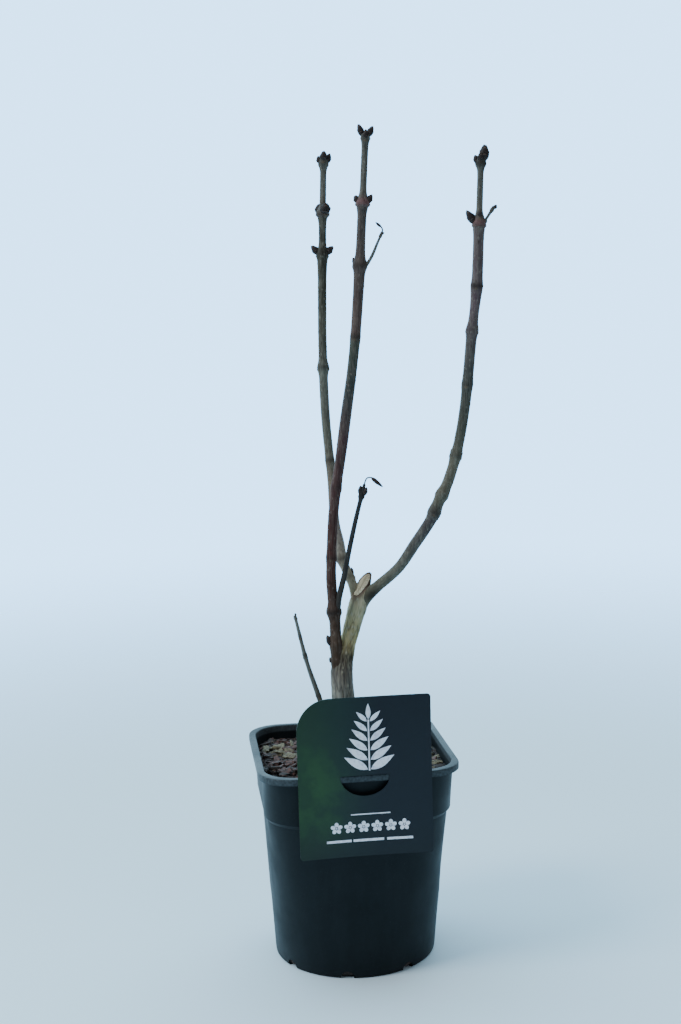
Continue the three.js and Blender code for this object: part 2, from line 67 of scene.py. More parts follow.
# A Mix node's settings where it blends two colours, and where it multiplies them.
BLEND = {"data_type": "RGBA"}
MULTIPLY = {"data_type": "RGBA", "blend_type": "MULTIPLY"}


class Slot(Enum):
    """The record's material slots."""

    POT = "pot"
    COMPOST = "compost"
    CARD = "card"
    BARK = "bark"
    TWIGS = "twigs"


# ---- colours and nodes ----------------------------------------------------------------


def linear(colour: str) -> tuple[float, float, float, float]:
    """Turn an sRGB hex colour into linear values.

    Args:
        colour: Six hex digits after a hash.

    Returns:
        Red, green, blue and an alpha of 1.
    """
    channels = [int(colour[i : i + 2], 16) / 255 for i in (1, 3, 5)]
    curved = [c / 12.92 if c <= 0.04045 else ((c + 0.055) / 1.055) ** 2.4 for c in channels]
    return (*curved, 1.0)


def add_node(
    tree: NodeTree,
    kind: str,
    inputs: dict[int | str, Any] | None = None,
    settings: dict[str, Any] | None = None,
    stops: Sequence[tuple[float, str]] = (),
) -> Node:
    """Add a node with its settings and its links.

    Args:
        tree: The node tree that takes the node.
        kind: The node's type, without the word ShaderNode in front.
        inputs: A value, an output or a node for each named or numbered input. A node stands for
            its first output in use. A MapRange node has its value at 0, its range at 1 and 2,
            and the range that it is brought to at 3 and 4.
        settings: Values for the node's own properties.
        stops: Places and sRGB colours of a colour ramp.

    Returns:
        The new node.
    """
    node = tree.nodes.new("ShaderNode" + kind)
    for name, value in (settings or {}).items():
        setattr(node, name, value)
    for name, value in (inputs or {}).items():
        socket = next(s for i, s in enumerate(node.inputs) if s.enabled and name in (i, s.name))
        if isinstance(value, Node):
            value = next(output for output in value.outputs if output.enabled)
        if isinstance(value, NodeSocket):
            tree.links.new(value, socket)
        else:
            socket.default_value = value
    for i, (place, colour) in enumerate(stops):
        elements = node.color_ramp.elements
        stop = elements[i] if i < len(elements) else elements.new(place)
        stop.position = place
        stop.color = linear(colour)
    return node


def per_metre(size: float) -> float:
    """A texture's scale on Object coordinates, from the size of its grain in millimetres."""
    return 1 / (MM * size)


# ---- shapes ---------------------------------------------------------------------------


def smooth_line(points: Sequence[Point], steps: int = 48) -> Array:
    """Sample the centripetal Catmull-Rom curve through some points.

    Args:
        points: Points that the curve passes through.
        steps: Samples between one point and the next.

    Returns:
        The samples, one row each.
    """
    p = np.array(points, float)
    p = np.vstack([2 * p[0] - p[1], p, 2 * p[-1] - p[-2]])
    gaps = np.sqrt(np.linalg.norm(np.diff(p, axis=0), axis=1))
    s = np.linspace(0, 1, steps, endpoint=False)[:, None]
    spans = []
    for i in range(1, len(p) - 2):
        p0, p1, p2, p3 = p[i - 1 : i + 3]
        d0, d1, d2 = gaps[i - 1 : i + 2]
        start = ((p1 - p0) / d0 - (p2 - p0) / (d0 + d1) + (p2 - p1) / d1) * d1
        end = ((p2 - p1) / d1 - (p3 - p1) / (d1 + d2) + (p3 - p2) / d2) * d1
        square = 3 * (p2 - p1) - 2 * start - end
        cube = 2 * (p1 - p2) + start + end
        spans.append(p1 + start * s + square * s**2 + cube * s**3)
    return np.vstack([*spans, p[-2:-1]])


def eased(pairs: Sequence[Pair], x: Array) -> Array:
    """Read a curve that eases from one (x, value) pair to the next.

    Args:
        pairs: The pairs, in the order of their x.
        x: Where the curve is read.

    Returns:
        The values there.
    """
    places, values = np.array(pairs, float).T
    span = np.clip(np.searchsorted(places, x, side="left"), 1, len(pairs) - 1)
    t = np.clip((x - places[span - 1]) / (places[span] - places[span - 1]), 0, 1)
    return values[span - 1] + (values[span] - values[span - 1]) * t * t * (3 - 2 * t)


def hump(distance: Array, reach: float) -> Array:
    """A smooth bump that is 1 at no distance and all but gone at twice its reach."""
    return np.exp(-((distance / reach) ** 2))


def grain(x: Array, y: Array, z: Array, octaves: int = 2) -> Array:
    """Smooth noise of about -1 to 1 at many points."""
    points = np.stack(np.broadcast_arrays(x, y, z), -1).reshape(-1, 3).tolist()
    return np.array([noise.fractal(p, 1.0, 2.0, octaves) for p in points])


def flat_angle(angle: Array) -> Array:
    """An angle in radians brought between minus and plus a half turn."""
    return (angle + math.pi) % (2 * math.pi) - math.pi


def mesh_in_metres(bm: BMesh, name: str) -> bpy.types.Mesh:
    """Turn a mesh in millimetres into one in metres.

    Args:
        bm: The mesh, which is freed.
        name: The new mesh's name.

    Returns:
        The new mesh.
    """
    bmesh.ops.scale(bm, vec=(MM, MM, MM), verts=bm.verts)
    mesh = bpy.data.meshes.new(name)
    bm.to_mesh(mesh)
    bm.free()
    return mesh


def in_scene(name: str, data: bpy.types.ID) -> bpy.types.Object:
    """Put a mesh, a light or a camera in the scene.

    Args:
        name: The name of its object.
        data: The mesh, light or camera.

    Returns:
        The object, at the origin.
    """
    thing = bpy.data.objects.new(name, data)
    bpy.context.scene.collection.objects.link(thing)
    return thing


def finish_piece(
    bm: BMesh,
    name: str,
    materials: Sequence[bpy.types.Material],
    stands_for: Iterable[str] = (),
    crease: float = 40.0,
) -> bpy.types.Object:
    """Turn a mesh in millimetres into a finished piece of the object in metres.

    Args:
        bm: The mesh, which is freed.
        name: The piece's name.
        materials: Its materials, in the order of its faces' material numbers.
        stands_for: The frame's nodes that it is shown in place of.
        crease: Edges sharper than this many degrees stay sharp.

    Returns:
        The piece, riding on the frame.
    """
    for face in bm.faces:
        face.smooth = True
    mesh = mesh_in_metres(bm, name)
    mesh.set_sharp_from_angle(angle=math.radians(crease))
    for material in materials:
        mesh.materials.append(material)
    piece = in_scene(name, mesh)
    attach(piece, BODY)
    if stands_for:
        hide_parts(*stands_for)
    log.info("%s: %d triangles", name, sum(len(f.vertices) - 2 for f in mesh.polygons))
    return piece


def aimed(root: Point | Vector, direction: Vector, axis: str = "Z") -> Matrix:
    """The move that takes the origin to root and an axis to a direction."""
    return Matrix.Translation(root) @ direction.to_track_quat(axis, "Y").to_matrix().to_4x4()


def close_ends(bm: BMesh) -> None:
    """Fill the open ends of a tube and turn its faces outwards.

    Args:
        bm: The tube.
    """
    bmesh.ops.remove_doubles(bm, verts=bm.verts, dist=WELD)
    rims = [edge for edge in bm.edges if edge.is_boundary]
    bmesh.ops.holes_fill(bm, edges=rims, sides=0)
    bmesh.ops.recalc_face_normals(bm, faces=bm.faces)


def thicken(bm: BMesh, verts: Iterable[BMVert], thickness: float) -> None:
    """Give a shaped sheet a thickness, inwards from the side that its faces point to.

    Args:
        bm: The mesh that holds the sheet.
        verts: The sheet's vertices.
        thickness: The thickness.
    """
    faces = list({face for vert in verts for face in vert.link_faces})
    for face in faces:
        face.normal_update()
    bmesh.ops.solidify(bm, geom=faces, thickness=thickness)


def merge(parts: Sequence[BMesh]) -> BMesh:
    """Join meshes, with their attributes.

    Args:
        parts: The meshes. All but the first are freed.

    Returns:
        The first of them, which now holds them all.
    """
    whole = parts[0]
    for part in parts[1:]:
        mesh = bpy.data.meshes.new("part")
        part.to_mesh(mesh)
        part.free()
        whole.from_mesh(mesh)
        bpy.data.meshes.remove(mesh)
    return whole


# ---- limbs ----------------------------------------------------------------------------


@dataclass(frozen=True)
class Joint:
    """A joint, where an opposite pair of buds swells the wood.

    facing is a direction in degrees from +X. buds has the length of one bud that faces it, or
    of a pair, of which the second faces it, and a length of 0 is a bare scar. dark and blush say
    how far the ring of bark round the joint is stained.
    """

    height: float
    swell: float
    facing: float
    buds: tuple[float, ...] = ()
    width: float = 0.0
    spread: float = 24.0
    dark: float = 0.35
    blush: float = 0.0
    collar: bool = False


@dataclass(frozen=True)
class PaintedShade:
    """A painted shade: a dark patch on one side of a limb where it lies in shade, by its height, its
    side and its reach.
    """

    height: float
    facing: float
    reach: float
    strength: float


@dataclass(frozen=True)
class LimbPlan:
    """A limb's centre line, its girth as (height, diameter) pairs, and its joints.

    foot_flare and end_flare widen it where it leaves its parent and where it bears a shoot.
    """

    path: tuple[Point, ...]
    girth: tuple[Pair, ...]
    joints: tuple[Joint, ...] = ()
    # Painted shade patches, darker on one side of the limb.
    shade_patches: tuple[PaintedShade, ...] = ()
    joint_reach: float = 5.5
    foot_flare: float = 0.0
    end_flare: float = 0.0
    flare_reach: float = 9.0
    lobes: int = 0
    lobe_depth: float = 0.0
    lobe_reach: float = 26.0


class Limb:
    """One tapering limb, measured by the distance along its centre line."""

    # The share of a joint's swelling that is only on the sides of its buds.
    BUD_SIDES = 0.15

    def __init__(self, plan: LimbPlan) -> None:
        """Lay out the centre line.

        Args:
            plan: The limb's sizes.
        """
        self.plan = plan
        self.line = smooth_line(plan.path)
        steps = np.linalg.norm(np.diff(self.line, axis=0), axis=1)
        self.marks = np.concatenate([[0.0], np.cumsum(steps)])
        self.length = float(self.marks[-1])
        self.joints = [(self.along_at(joint.height), joint) for joint in plan.joints]

    def along_at(self, height: float) -> float:
        """The distance along the limb at which it first reaches a height."""
        above = self.line[:, 2] >= height
        return float(self.marks[np.argmax(above)]) if above.any() else self.length

    def centre(self, along: Array) -> Array:
        """Points on the centre line."""
        return np.stack([np.interp(along, self.marks, self.line[:, k]) for k in range(3)], -1)

    def frames(self, along: Array) -> tuple[Array, Array, Array]:
        """Directions along, across and over the limb.

        Args:
            along: Distances from its foot.

        Returns:
            The heading, and two directions square to it, of which the first leans to +X.
        """
        step = 0.5
        heading = self.centre(along + step) - self.centre(along - step)
        heading /= np.linalg.norm(heading, axis=-1, keepdims=True)
        over = np.cross([1.0, 0.0, 0.0], heading)
        over /= np.linalg.norm(over, axis=-1, keepdims=True)
        return heading, np.cross(heading, over), over

    def radius(self, along: Array, angle: Array) -> Array:
        """The wood's radius, fuller towards the buds at a joint and at a flared foot.

        Args:
            along: Distances from the foot.
            angle: Angles round the limb.

        Returns:
            The radius at each.
        """
        plan = self.plan
        width = eased(plan.girth, self.centre(along)[..., 2])
        for at, joint in self.joints:
            side = np.cos(angle - math.radians(joint.facing)) ** 2
            fullness = 1 - self.BUD_SIDES + self.BUD_SIDES * side
            width = width + joint.swell * fullness * hump(along - at, plan.joint_reach)
        width = width + plan.foot_flare * hump(along, plan.flare_reach)
        width = width + plan.end_flare * hump(self.length - along, plan.joint_reach)
        lobe = plan.lobe_depth * np.cos(plan.lobes * angle) * np.exp(-along / plan.lobe_reach)
        return width / 2 * (1 + lobe)

    def surface(self, along: Array, angle: Array, rise: Array) -> Array:
        """Points on the bark.

        Args:
            along: Distances from the foot.
            angle: Angles round the limb.
            rise: The bark's height over the smooth wood.

        Returns:
            The points, one row each.
        """
        _, across, over = self.frames(along)
        radius = (self.radius(along, angle) + rise)[..., None]
        turned = across * np.cos(angle)[..., None] + over * np.sin(angle)[..., None]
        return self.centre(along) + turned * radius

    def axil(self, along: float, facing: float, spread: float, sink: float) -> tuple[Vector, Vector]:
        """Where a bud or a side shoot is rooted at a joint.

        Args:
            along: The joint's distance from the foot.
            facing: Its side of the limb in degrees.
            spread: How far it leans out from the limb in degrees.
            sink: How far out from the centre it is rooted, as a share of the radius.

        Returns:
            The root and the direction of growth.
        """
        at, angle = np.array([along]), np.array([math.radians(facing)])
        heading, across, over = (axis[0] for axis in self.frames(at))
        outward = across * math.cos(angle[0]) + over * math.sin(angle[0])
        root = self.centre(at)[0] + outward * float(self.radius(at, angle)[0]) * sink
        lean = math.radians(spread)
        return Vector(root), Vector(heading * math.cos(lean) + outward * math.sin(lean))


@dataclass(frozen=True)
class Bark:
    """The relief of a limb's bark, in millimetres."""

    sides: int = 48
    ring_gap: float = 0.85
    fissure: float = 0.0
    fissure_width: float = 4.5
    rib: float = 0.14
    wrinkle: float = 0.05
    cross_grain: float = 0.3
    lenticels: float = 2.2
    lenticel_size: float = 0.55
    seed: int = 1


class Marks:
    """What the bark's relief leaves for the finish to colour, one value a vertex."""

    # The ring mark holds the dark rings at the joints, and also painted shade from shade patches and on
    # the cut's rim.
    NAMES = ("pit", "dot", "ring", "blush", "scar")

    def __init__(self, size: int) -> None:
        """Start with nothing marked on so many vertices."""
        self.values = {name: np.zeros(size) for name in self.NAMES}

    def raise_to(self, name: str, value: Array) -> None:
        """Raise a mark where value is greater."""
        self.values[name] = np.maximum(self.values[name], value)


class Skin:
    """Grows the bark of a limb as one closed mesh with its relief and its marks."""

    # Noise waves in a radius across the limb and in each millimetre along it.
    RIBS = (1.6, 0.022)
    WARP = (2.0, 0.05)
    # Noise waves of the wrinkles in each millimetre across the limb.
    WRINKLES = 0.9
    # How far the cracks wander, their noise waves along the limb, and how steep their sides are.
    WANDER, CRACK_LENGTHWISE, CRACK_EDGE = 0.5, 0.035, 0.13
    # The unevenness of the plates between cracks, and its noise waves along the limb.
    PLATE_SHARE, PLATE_LENGTHWISE = 0.35, 0.1
    # A lenticel's height, and the least and greatest share of its size across and along.
    LENTICEL_HEIGHT = 0.22
    LENTICEL_WIDE = (0.7, 1.3)
    LENTICEL_TALL = (0.9, 1.8)
    # A joint's stained ring and its blush, by their middle over the joint and their reach.
    RING = (0.5, 3.0)
    BLUSH = (1.0, 3.2)
    # The ridge across a plain joint, and a collar's ridges and grooves, by height and reach, with
    # how far a ridge lies over its joint and a groove over its ridge.
    RIDGE = (0.16, 0.55)
    COLLAR_RIDGE = (0.28, 0.42)
    COLLAR_GROOVE = (0.1, 0.35)
    RIDGE_UP = 0.6
    # A collar's rings: their number, how far under the joint they start and how far apart they are.
    COLLAR_RINGS, COLLAR_FOOT, COLLAR_GAP = 4, 3.4, 1.15
    # A leaf scar's place under its joint, its half width and height, and how far it stands out.
    SCAR_DROP = 1.9
    SCAR_HALF_WIDTH = 1.7
    SCAR_HALF_HEIGHT = 1.1
    SCAR_RISE = 0.45
    SEED_STEP = 17.3

    def __init__(self, limb: Limb, bark: Bark) -> None:
        """Take the limb and its relief."""
        self.limb = limb
        self.bark = bark

    def relief(self, along: Array, angle: Array) -> tuple[Array, Marks]:
        """The height of the bark over the smooth limb.

        Args:
            along: Distances from the foot.
            angle: Angles round the limb.

        Returns:
            The heights and the marks.
        """
        bark = self.bark
        marks = Marks(along.size)
        cos, sin = np.cos(angle), np.sin(angle)
        radius = self.limb.radius(along, angle)
        shift = bark.seed * self.SEED_STEP

        def waves(
            across: Array | float, lengthwise: float, aside: Array | float = 0.0, octaves: int = 2
        ) -> Array:
            """Noise by its waves across and along the limb, pulled aside where it wanders."""
            return grain(cos * across + aside, sin * across, along * lengthwise + shift, octaves)

        fine = waves(radius * self.WRINKLES, bark.cross_grain)
        rise = bark.rib * waves(*self.RIBS) + bark.wrinkle * fine
        if bark.fissure:
            across = radius / bark.fissure_width
            warp = self.WANDER * waves(*self.WARP)
            furrow = hump(waves(across, self.CRACK_LENGTHWISE, warp, 3), self.CRACK_EDGE)
            plate = waves(2 * across, self.PLATE_LENGTHWISE)
            rise = rise + bark.fissure * (self.PLATE_SHARE * plate - furrow)
            marks.raise_to("pit", furrow)
        marks.raise_to("pit", np.clip(-fine * 1.4 - 0.15, 0, 1))
        rise = rise + self.lenticels(along, angle, radius, marks)
        rise = rise + self.scars(along, angle, radius, marks)
        # Painted shade: darken one side of the limb near each shade patch, kept in the ring mark.
        for shade_patch in self.limb.plan.shade_patches:
            side = 0.5 + 0.5 * np.cos(angle - math.radians(shade_patch.facing))
            near = hump(along - self.limb.along_at(shade_patch.height), shade_patch.reach)
            marks.raise_to("ring", shade_patch.strength * side**2 * near)
        return rise, marks

    def lenticels(self, along: Array, angle: Array, radius: Array, marks: Marks) -> Array:
        """Small pale corky dots.

        Args:
            along: Distances from the foot.
            angle: Angles round the limb.
            radius: The limb's radius there.
            marks: The marks, which the dots are added to.

        Returns:
            Their heights.
        """
        dice = random.Random(self.bark.seed)
        rise = np.zeros(along.size)
        area = self.limb.length * 2 * math.pi * float(radius.mean()) / 100
        size = self.bark.lenticel_size
        for _ in range(round(self.bark.lenticels * area)):
            at, turn = dice.uniform(0, self.limb.length), dice.uniform(-math.pi, math.pi)
            wide = size * dice.uniform(*self.LENTICEL_WIDE)
            tall = size * dice.uniform(*self.LENTICEL_TALL)
            near = np.flatnonzero(np.abs(along - at) < 3 * tall)
            around = flat_angle(angle[near] - turn) * radius[near]
            bump = hump(np.hypot((along[near] - at) / tall, around / wide), 1.0)
            rise[near] += self.LENTICEL_HEIGHT * bump
            marks.values["dot"][near] = np.maximum(marks.values["dot"][near], bump)
        return rise

    def scars(self, along: Array, angle: Array, radius: Array, marks: Marks) -> Array:
        """Rings and leaf scars at the joints.

        Args:
            along: Distances from the foot.
            angle: Angles round the limb.
            radius: The limb's radius there.
            marks: The marks, which the rings' and scars' are added to.

        Returns:
            Their heights.
        """
        rise = np.zeros(along.size)
        for at, joint in self.limb.joints:
            off = along - at
            for name, strength, (up, reach) in (
                ("ring", joint.dark, self.RING), ("blush", joint.blush, self.BLUSH)
            ):
                marks.raise_to(name, strength * hump(off - up, reach))
            if joint.collar:
                (ridge, ridge_reach), (groove, groove_reach) = self.COLLAR_RIDGE, self.COLLAR_GROOVE
                for k in range(self.COLLAR_RINGS):
                    from_ring = off + self.COLLAR_FOOT - k * self.COLLAR_GAP
                    rise += ridge * hump(from_ring, ridge_reach)
                    rise -= groove * hump(from_ring - self.RIDGE_UP, groove_reach)
            else:
                rise += self.RIDGE[0] * hump(off - self.RIDGE_UP, self.RIDGE[1])
            for turn in (0.0, math.pi):
                around = flat_angle(angle - math.radians(joint.facing) - turn) * radius
                below = (off + self.SCAR_DROP) / self.SCAR_HALF_HEIGHT
                shield = hump(np.hypot(around / self.SCAR_HALF_WIDTH, below), 1)
                rise += self.SCAR_RISE * shield
                marks.raise_to("scar", shield)
        return rise

    def grow(self) -> BMesh:
        """The bark as a closed tube.

        Returns:
            A mesh in millimetres, with the marks as attributes.
        """
        bm = bmesh.new()
        bm.loops.layers.uv.new("Bark")
        rings = max(4, round(self.limb.length / self.bark.ring_gap))
        bmesh.ops.create_grid(bm, x_segments=self.bark.sides, y_segments=rings, size=1, calc_uvs=True)
        flat = np.array([vert.co[:2] for vert in bm.verts])
        angle = (flat[:, 0] + 1) * math.pi
        along = (flat[:, 1] + 1) / 2 * self.limb.length
        rise, marks = self.relief(along, angle)
        place = self.limb.surface(along, angle, rise)
        layers = {name: bm.verts.layers.float.new(name) for name in Marks.NAMES}
        for i, vert in enumerate(bm.verts):
            vert.co = place[i]
            for name, layer in layers.items():
                vert[layer] = marks.values[name][i]
        close_ends(bm)
        return bm


# ---- buds and capsules ----------------------------------------------------------------


@dataclass(frozen=True)
class BudScales:
    """How a winter bud's scales overlap, in opposite pairs that turn a quarter each time.

    starts, ends and lift go from the outermost pair to the innermost: where on the bud a pair
    starts and ends, and how far it stands out. A scale keeps tip_share of its width at its tip,
    and a greater narrowing keeps it wide for longer.
    """

    columns: int = 6
    rows: int = 6
    thickness: float = 0.22
    starts: tuple[float, ...] = (0.0, 0.0, 0.04, 0.1)
    ends: tuple[float, ...] = (0.4, 0.62, 0.84, 1.0)
    lift: tuple[float, ...] = (0.42, 0.3, 0.16, 0.04)
    half_turn: float = 1.8
    tip_flare: float = 0.12
    tip_share: float = 0.1
    narrowing: float = 2.4
    keel: float = 0.22


class SheetMaker:
    """Adds small curved sheets to one mesh, with a map across and along each."""

    def __init__(self) -> None:
        """Start an empty mesh."""
        self.bm = bmesh.new()
        self.bm.loops.layers.uv.new("Scale")

    def sheet(self, columns: int, rows: int) -> list[BMVert]:
        """Add a flat sheet, 2 wide and 2 high about the origin, and give its vertices."""
        return bmesh.ops.create_grid(
            self.bm, x_segments=columns, y_segments=rows, size=1, calc_uvs=True
        )["verts"]


class BudMaker(SheetMaker):
    """Adds winter buds to one mesh."""

    # A bud's profile: how low its widest place is, and how full it stays towards both ends.
    LOWNESS, FULLNESS = 0.8, 0.62
    # The least and greatest share of its length that a scale has.
    LENGTHS = (0.94, 1.04)
    # The core under the scales, as shares of the bud's width and length.
    CORE = (0.94, 0.97)

    def __init__(self, scales: BudScales, dice: random.Random) -> None:
        """Start an empty mesh.

        Args:
            scales: How the scales overlap.
            dice: The source of small differences.
        """
        super().__init__()
        self.scales = scales
        self.dice = dice

    def profile(self, height: Array, width: float) -> Array:
        """The bud's radius at a share of its height."""
        return width / 2 * np.sin(math.pi * np.clip(height, 0, 1) ** self.LOWNESS) ** self.FULLNESS

    def scale(self, length: float, width: float, layer: int, turn: float, grow: Matrix) -> None:
        """Add one scale.

        Args:
            length: The bud's length.
            width: The bud's width.
            layer: 0 for the outermost pair.
            turn: Direction of the scale's back in radians.
            grow: Places the bud, which stands up from the origin.
        """
        s = self.scales
        made = self.sheet(s.columns, s.rows)
        flat = np.array([vert.co[:2] for vert in made])
        side, up = flat[:, 0], (flat[:, 1] + 1) / 2
        end = s.ends[layer] * self.dice.uniform(*self.LENGTHS)
        height = s.starts[layer] + (end - s.starts[layer]) * up
        innermost = len(s.ends) - 1
        lift = s.lift[layer] * (0.4 + 0.6 * up) + s.tip_flare * up**5 * (layer < innermost)
        keel = s.keel * (1 - np.abs(side)) ** 2 * up
        radius = self.profile(height, width) + lift * width / 6 + keel
        narrow = np.sqrt(1 - (1 - s.tip_share**2) * up**s.narrowing)
        angle = turn + side * s.half_turn * narrow
        place = np.stack([np.cos(angle) * radius, np.sin(angle) * radius, height * length], -1)
        for vert, co in zip(made, place):
            vert.co = grow @ Vector(co)
        thicken(self.bm, made, s.thickness)

    def bud(self, root: Vector, direction: Vector, length: float, width: float, roll: float) -> None:
        """Add one bud of four pairs of scales.

        Args:
            root: Where it is rooted.
            direction: Where it points.
            length: Its length.
            width: Its greatest width.
            roll: The turn of its scales in radians.
        """
        grow = aimed(root, direction)
        core_width, core_length = self.CORE[0] * width, self.CORE[1] * length
        core = bmesh.ops.create_uvsphere(self.bm, u_segments=10, v_segments=8, radius=0.5)["verts"]
        for vert in core:
            up = vert.co.z + 0.5
            radius = float(self.profile(np.array([up]), core_width)[0])
            spot = Vector((vert.co.x, vert.co.y, 0))
            spot = spot.normalized() * radius if spot.length > 1e-5 else spot
            vert.co = grow @ Vector((spot.x, spot.y, up * core_length))
        for layer in range(len(self.scales.ends)):
            for half in (0, math.pi):
                self.scale(length, width, layer, roll + layer * math.pi / 2 + half, grow)


class CapsuleMaker(SheetMaker):
    """Adds last summer's seed capsules, each a pair of dry gaping valves."""

    BROADSIDE = math.radians(75)
    # A valve's thickness, how far round it bends in radians, and how deep it is for its width.
    THICKNESS, HALF_TURN, DEPTH = 0.3, 1.35, 0.8
    # A valve's outline: how low its widest place is, and how full it stays towards both ends.
    LOWNESS, FULLNESS = 0.7, 0.7
    # A valve's tip is welded where its corners are closer than this.
    TIP_WELD = 0.02

    def capsule(
        self, root: Vector, direction: Vector, length: float, width: float, gape: float
    ) -> None:
        """Add one capsule.

        Args:
            root: Where its stalk ends.
            direction: Where it points.
            length: Its length.
            width: Its greatest width.
            gape: The angle between a valve and the middle, in degrees.
        """
        lean = Matrix.Rotation(math.radians(gape), 4, "X")
        for half in (0.0, math.pi):
            grow = aimed(root, direction) @ Matrix.Rotation(half + self.BROADSIDE, 4, "Z") @ lean
            made = self.sheet(6, 10)
            for vert in made:
                side, up = vert.co.x, (vert.co.y + 1) / 2
                reach = width / 2 * math.sin(math.pi * up**self.LOWNESS) ** self.FULLNESS
                angle = side * self.HALF_TURN
                depth = math.cos(angle) * reach * self.DEPTH
                vert.co = grow @ Vector((math.sin(angle) * reach, -depth, up * length))
            bmesh.ops.remove_doubles(self.bm, verts=made, dist=self.TIP_WELD)
            thicken(self.bm, [vert for vert in made if vert.is_valid], self.THICKNESS)


# ---- finishes -------------------------------------------------------------------------


@dataclass(frozen=True)
class Finish:
    """A finish, named for the real material, that makes one Blender material.

    A field that ends in _width is the width of a pattern's grain in millimetres.
    """

    name: str

    def material(self) -> bpy.types.Material:
        """Make the material.

        Returns:
            The material, with its nodes.
        """
        material = bpy.data.materials.new(self.name)
        material.use_nodes = True
        material.node_tree.nodes.clear()
        add = partial(add_node, material.node_tree)
        add("OutputMaterial", {"Surface": self.surface(add, add("TexCoord").outputs["Object"])})
        return material

    def surface(self, add: Adder, place: NodeSocket) -> Node:
        """The finish's shader.

        Args:
            add: Adds a node to the material.
            place: The place on the object in metres.

        Returns:
            The shader's node.
        """
        raise NotImplementedError

    @staticmethod
    def pattern(
        add: Adder,
        place: Node | NodeSocket,
        width: float,
        detail: float,
        span: tuple[float, float, float, float],
        roughness: float = 0.5,
    ) -> tuple[Node, Node]:
        """An irregular pattern, and a share that follows it.

        Args:
            add: Adds a node to the material.
            place: The place on the object in metres, stretched where the pattern is.
            width: The width of its grain in millimetres.
            detail: How many finer grains are added.
            span: Two heights of the pattern, and the share at each.
            roughness: How strong the finer grains are.

        Returns:
            The pattern and the share.
        """
        noise_node = add("TexNoise", {
            "Vector": place, "Scale": per_metre(width), "Detail": detail, "Roughness": roughness})
        return noise_node, add("MapRange", {0: noise_node, **dict(enumerate(span, 1))})


@dataclass(frozen=True)
class LilacBark(Finish):
    """Lilac bark: dull, ribbed lengthwise, with pale lenticels and a dark ring at a joint.

    along gives the bark's colour from the limb's foot to its end. The cracks of young bark are
    finer than a pixel, so the streaks are drawn as wide as streak_width.
    """

    along: tuple[tuple[float, str], ...] = ((0.0, "#5a5146"), (1.0, "#5a5146"))
    pale: str = "#8f8672"
    crack: str = "#1f1a18"
    blush: str = "#8a5f60"
    cork: str = "#6f5f4c"
    streak: float = 0.55
    cracked: float = 0.5
    streak_width: float = 1.613
    blotch_width: float = 6.667
    rough: Pair = (0.55, 0.8)

    def surface(self, add: Adder, place: NodeSocket) -> Node:
        """The bark's shader, from the marks that the relief left.

        Args:
            add: Adds a node to the material.
            place: The place on the object in metres.

        Returns:
            The shader's node.
        """
        around = add("UVMap", settings={"uv_map": "Bark"})
        height = add("SeparateXYZ", {0: around}).outputs["Y"]
        base = add("ValToRGB", {0: height}, stops=self.along)
        tall = add("Mapping", {"Vector": place, "Scale": (1.0, 1.0, 0.1)})
        long = add("Mapping", {"Vector": place, "Scale": (1.0, 1.0, 0.3)})
        span = (0.42, 0.68, 0.0, self.streak)
        streaks, strength = self.pattern(add, tall, self.streak_width, 4, span)
        blotches, shade = self.pattern(add, long, self.blotch_width, 5, (0.3, 0.7, 0.74, 1.2))
        colour = add("Mix", {"Factor": strength, "A": base, "B": linear(self.pale)}, BLEND)
        colour = add("Mix", {"Factor": 1.0, "A": colour, "B": shade}, MULTIPLY)
        # The ring mark darkens the joints' rings, and also paints shade where shade patches and the
        # cut's rim put it.
        tints = (("blush", self.blush, 0.7), ("scar", self.cork, 0.75), ("dot", self.pale, 0.8),
                 ("ring", self.crack, 0.85), ("pit", self.crack, self.cracked))
        for mark, tint, most in tints:
            seen = add("Attribute", settings={"attribute_name": mark}).outputs["Fac"]
            share = add("Math", {0: seen, 1: most}, {"operation": "MULTIPLY"})
            colour = add("Mix", {"Factor": share, "A": colour, "B": linear(tint)}, BLEND)
        least, most = self.rough
        rough = add("MapRange", {0: blotches, 1: 0.3, 2: 0.7, 3: least, 4: most})
        bump = add("Bump", {"Height": streaks, "Strength": 0.5, "Distance": 0.0003})
        return add("BsdfPrincipled", {
            "Base Color": colour, "Roughness": rough, "Normal": bump, "Specular IOR Level": 0.15})


@dataclass(frozen=True)
class BudScale(Finish):
    """Bud scales: leathery, dark purple-brown, with a paler dry margin."""

    back: str = "#2c2422"
    keel: str = "#3c322c"
    margin: str = "#67544a"
    mottle_width: float = 1.111

    def surface(self, add: Adder, place: NodeSocket) -> Node:
        """The scale's shader, by the place along each scale.

        Args:
            add: Adds a node to the material.
            place: The place on the object in metres.

        Returns:
            The shader's node.
        """
        at = add("UVMap", settings={"uv_map": "Scale"})
        height = add("SeparateXYZ", {0: at}).outputs["Y"]
        up = add("ValToRGB", {0: height}, stops=(
            (0.0, self.keel), (0.55, self.back), (0.88, self.back), (1.0, self.margin)))
        mottle, shade = self.pattern(add, place, self.mottle_width, 3, (0.3, 0.7, 0.6, 1.4))
        colour = add("Mix", {"Factor": 1.0, "A": up, "B": shade}, MULTIPLY)
        bump = add("Bump", {"Height": mottle, "Strength": 0.4, "Distance": 0.0002})
        return add("BsdfPrincipled", {
            "Base Color": colour, "Roughness": 0.6, "Specular IOR Level": 0.2, "Normal": bump})


